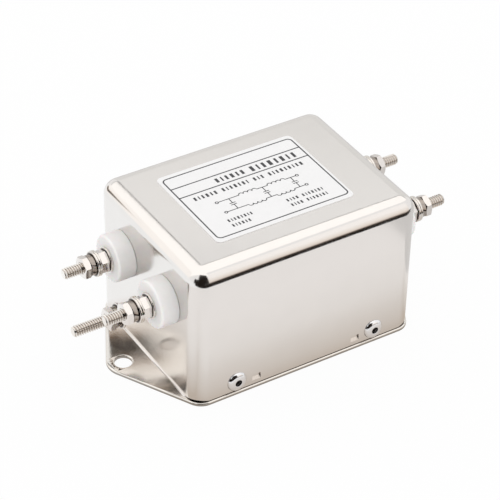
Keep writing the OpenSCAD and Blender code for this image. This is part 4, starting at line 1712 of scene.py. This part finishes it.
@dataclass
class Studio:
    """Pale floor, even light, and panels and cards that show only in the metal's reflections.

    Sizes are in metres. The floor's painted shade, which only reflections show, is given by the
    distance from the case.
    """

    floor_half: float = 3.0
    floor_colour: Colour = (0.92, 0.92, 0.92)
    # The floor's painted shade by distance from the case: warm and dark at the case, brighter than
    # white far off.
    floor_tones: Tones = (
        (0.0, (0.62, 0.55, 0.48)), (0.006, (0.74, 0.69, 0.64)), (0.022, (0.94, 0.92, 0.90)),
        (0.04, (1.0, 0.985, 0.975)), (0.058, (1.0, 0.985, 0.975)), (0.075, (1.07, 1.09, 1.10)))
    # Shift of the painted shade before the end walls, and the painted light that grows from there
    # towards the far side.
    end_shift: float = 0.004
    end_light_from: float = 0.02
    end_light_slope: float = 6.0
    camera_share: float = 0.95
    panel_height: float = 0.6
    panel_plan: Sequence[Point] = ((-0.2, -2.2), (-0.2, 0.3), (-0.38, 0.3), (-0.38, 0.9),
                                   (0.545, 0.9), (0.545, -2.2))
    rim_plan: Sequence[Point] = ((0.53, -2.2), (0.53, 0.9), (0.60, 0.9), (0.60, -2.2))
    rim_drop: float = 0.002
    table_lift: float = 0.0005
    table_end: Sequence[Point] = ((0.35, -0.105), (-0.06, -0.105), (-0.16, -0.09), (-0.2, -0.08),
                                  (-0.6, -0.2), (-0.6, -0.6), (0.35, -0.6))
    far_table: Sequence[Point] = ((-0.03, 0.075), (0.07, 0.075), (0.07, -0.1), (1.0, -0.1),
                                  (1.0, 1.0), (-0.03, 1.0))
    arm_middle: Vector = Vector((-0.06889, 0.06517, 0.05723))
    arm_along: Vector = Vector((0.01241, 0.00665, -0.00036))
    arm_across: Vector = Vector((0.00309, 0.00694, -0.00571))
    depth_axis: Vector = Vector((0.529, 0.849, 0.0))
    side_axis: Vector = Vector((0.849, -0.529, 0.0))
    screens: Sequence[Screen] = (
        Screen("side_panel", SIDE_PANEL, -80.0, -38.0, 0.36, 0.38),
        Screen("back_panel", BACK_PANEL, 20.0, 80.0, 1.2, 1.0),
        Screen("left_panel", LEFT_PANEL, 112.0, 150.0, 0.8, 0.46),
        Screen("left_screen", DARK_CARD, 190.0, 215.0, 0.68, 0.34),
        Screen("camera_side", DARK_CARD, 215.0, 285.0, 0.68, 1.7))
    eye: Vector = Vector((-0.31085, -0.48321, 0.4648))
    eye_right: Vector = Vector((0.85086, -0.52506, 0.01923))
    eye_up: Vector = Vector((0.30490, 0.52323, 0.79581))
    eye_back: Vector = Vector((-0.42790, -0.67125, 0.60527))
    focal_px: float = 2141.7
    image_px: float = 500.0
    sensor: float = 36.0

    def build(self) -> None:
        """Make the floor, the light, the reflections and the camera."""
        bpy.context.scene.view_settings.view_transform = "Standard"
        self._world()
        self._floor()
        self._panels()
        for screen in self.screens:
            self._reflect_only(screen.name, screen.sheet(), screen.glow)
        self._camera()

    @staticmethod
    def _world() -> None:
        """Light the scene evenly from all round."""
        world = bpy.data.worlds.new("studio")
        bpy.context.scene.world = world
        world.use_nodes = True
        light = world.node_tree.nodes["Background"]
        light.inputs["Color"].default_value = (1.0, 1.0, 1.0, 1.0)
        light.inputs["Strength"].default_value = 1.0

    @staticmethod
    def _stand(name: str, bm: BMesh, material: Material) -> Object:
        """Put a sheet of the studio on the stage.

        Args:
            name: Name of the sheet.
            bm: The sheet, which is freed.
            material: Its material.

        Returns:
            The sheet.
        """
        sheet = add_object(name, bm)
        sheet.data.materials.append(material)
        return sheet

    def _reflect_only(self, name: str, bm: BMesh, glow: Glow) -> None:
        """Put up a sheet that shows only in reflections.

        Args:
            name: Name of the sheet.
            bm: The sheet, which is freed.
            glow: Its brightness.
        """
        sheet = self._stand(name, bm, glow.material())
        sheet.visible_camera = False
        sheet.visible_diffuse = False
        sheet.visible_shadow = False
        sheet.visible_transmission = False

    @staticmethod
    def _flat(corners: Iterable[Sequence[float]]) -> BMesh:
        """Fill the outline of a flat sheet.

        Args:
            corners: Corners in order.

        Returns:
            The sheet.
        """
        bm = bmesh.new()
        bmesh.ops.contextual_create(bm, geom=[bm.verts.new(c) for c in corners])
        return bm

    def _floor(self) -> None:
        """Lay the floor, which is white to the camera and keeps a soft shadow."""
        web = Shading("paper_sweep")
        matte = web.add("BsdfDiffuse", {"Color": (*self.floor_colour, 1.0)})
        white = web.add("Emission", {"Color": (1.0, 1.0, 1.0, 1.0)})
        # Glossy and transmission rays see the floor as a glow with painted shade towards the case.
        mirrored = web.add("Emission", {"Color": self._floor_tone(web)})
        ray = web.add("LightPath", {}).outputs
        seen = web.calc("MULTIPLY", ray["Is Camera Ray"], self.camera_share)
        bounced = web.calc("MAXIMUM", ray["Is Glossy Ray"], ray["Is Transmission Ray"])
        direct = web.mix(seen, matte.outputs["BSDF"], white.outputs["Emission"])
        web.surface(web.mix(bounced, direct, mirrored.outputs["Emission"]))
        h = self.floor_half
        corners = [(-h, -h, 0), (h, -h, 0), (h, h, 0), (-h, h, 0)]
        self._stand("floor", self._flat(corners), web.material)

    def _floor_tone(self, web: Shading) -> NodeSocket:
        """Paint shade into the floor's colour towards the case, for its mirror image in the walls.

        Before the end walls, painted light makes the floor lighter towards the far side.

        Args:
            web: Nodes of the floor's material.

        Returns:
            The socket with the colour.
        """
        wall = box_mm("cover")[1] * MM
        axes = web.axes()
        beside = web.calc("SUBTRACT", web.calc("ABSOLUTE", axes["Y"]), wall.y)
        before = web.calc("SUBTRACT", web.calc("ABSOLUTE", axes["X"]), wall.x + self.end_shift)
        # Towards the far side the distance before the end walls grows, which paints light there.
        past = web.calc("SUBTRACT", axes["Y"], self.end_light_from)
        lit = web.calc("MULTIPLY_ADD", web.calc("MAXIMUM", past, 0.0), self.end_light_slope, before)
        return web.tones(web.calc("MAXIMUM", lit, beside), self.floor_tones)

    def _panels(self) -> None:
        """Hang the flat panels and lay out the cards."""
        for name, plan, height, glow in (
                ("soft_panel", self.panel_plan, self.panel_height, SOFT_PANEL),
                ("panel_rim", self.rim_plan, self.panel_height - self.rim_drop, DARK_CARD)):
            lift = Vector((0.0, 0.0, height))
            corners = [d * self.depth_axis + s * self.side_axis + lift for d, s in plan]
            self._reflect_only(name, self._flat(corners), glow)
        for name, plan, glow in (("table_end", self.table_end, DARK_CARD),
                                 ("far_table", self.far_table, FAR_TABLE)):
            self._reflect_only(name, self._flat((x, y, self.table_lift) for x, y in plan), glow)
        turns = ((-1, -1), (1, -1), (1, 1), (-1, 1))
        arm = [self.arm_middle + a * self.arm_along + b * self.arm_across for a, b in turns]
        self._reflect_only("arm_card", self._flat(arm), ARM_CARD)

    def _camera(self) -> None:
        """Set the camera where the photograph was taken from."""
        lens = bpy.data.cameras.new("camera")
        lens.sensor_width = self.sensor
        lens.lens = self.focal_px / self.image_px * self.sensor
        camera = bpy.data.objects.new("camera", lens)
        turn = Matrix((self.eye_right, self.eye_up, self.eye_back)).transposed()
        camera.matrix_world = Matrix.Translation(self.eye) @ turn.to_4x4()
        bpy.context.scene.collection.objects.link(camera)
        bpy.context.scene.camera = camera


def main() -> None:
    """Build every sub-assembly and the studio, and report each piece."""
    logging.basicConfig(level=logging.INFO, format="%(name)s: %(message)s")
    for assembly in (Cover(), MountingPlate(), Rivets(), Bushings(), StudHardware(), TopLabel(),
                     InnerParts()):
        for piece in assembly.build():
            log.info("%s: %d faces, finish %s", piece.name, len(piece.data.polygons),
                     piece.data.materials[0].name)
    Studio().build()


if __name__ == "__main__":
    main()
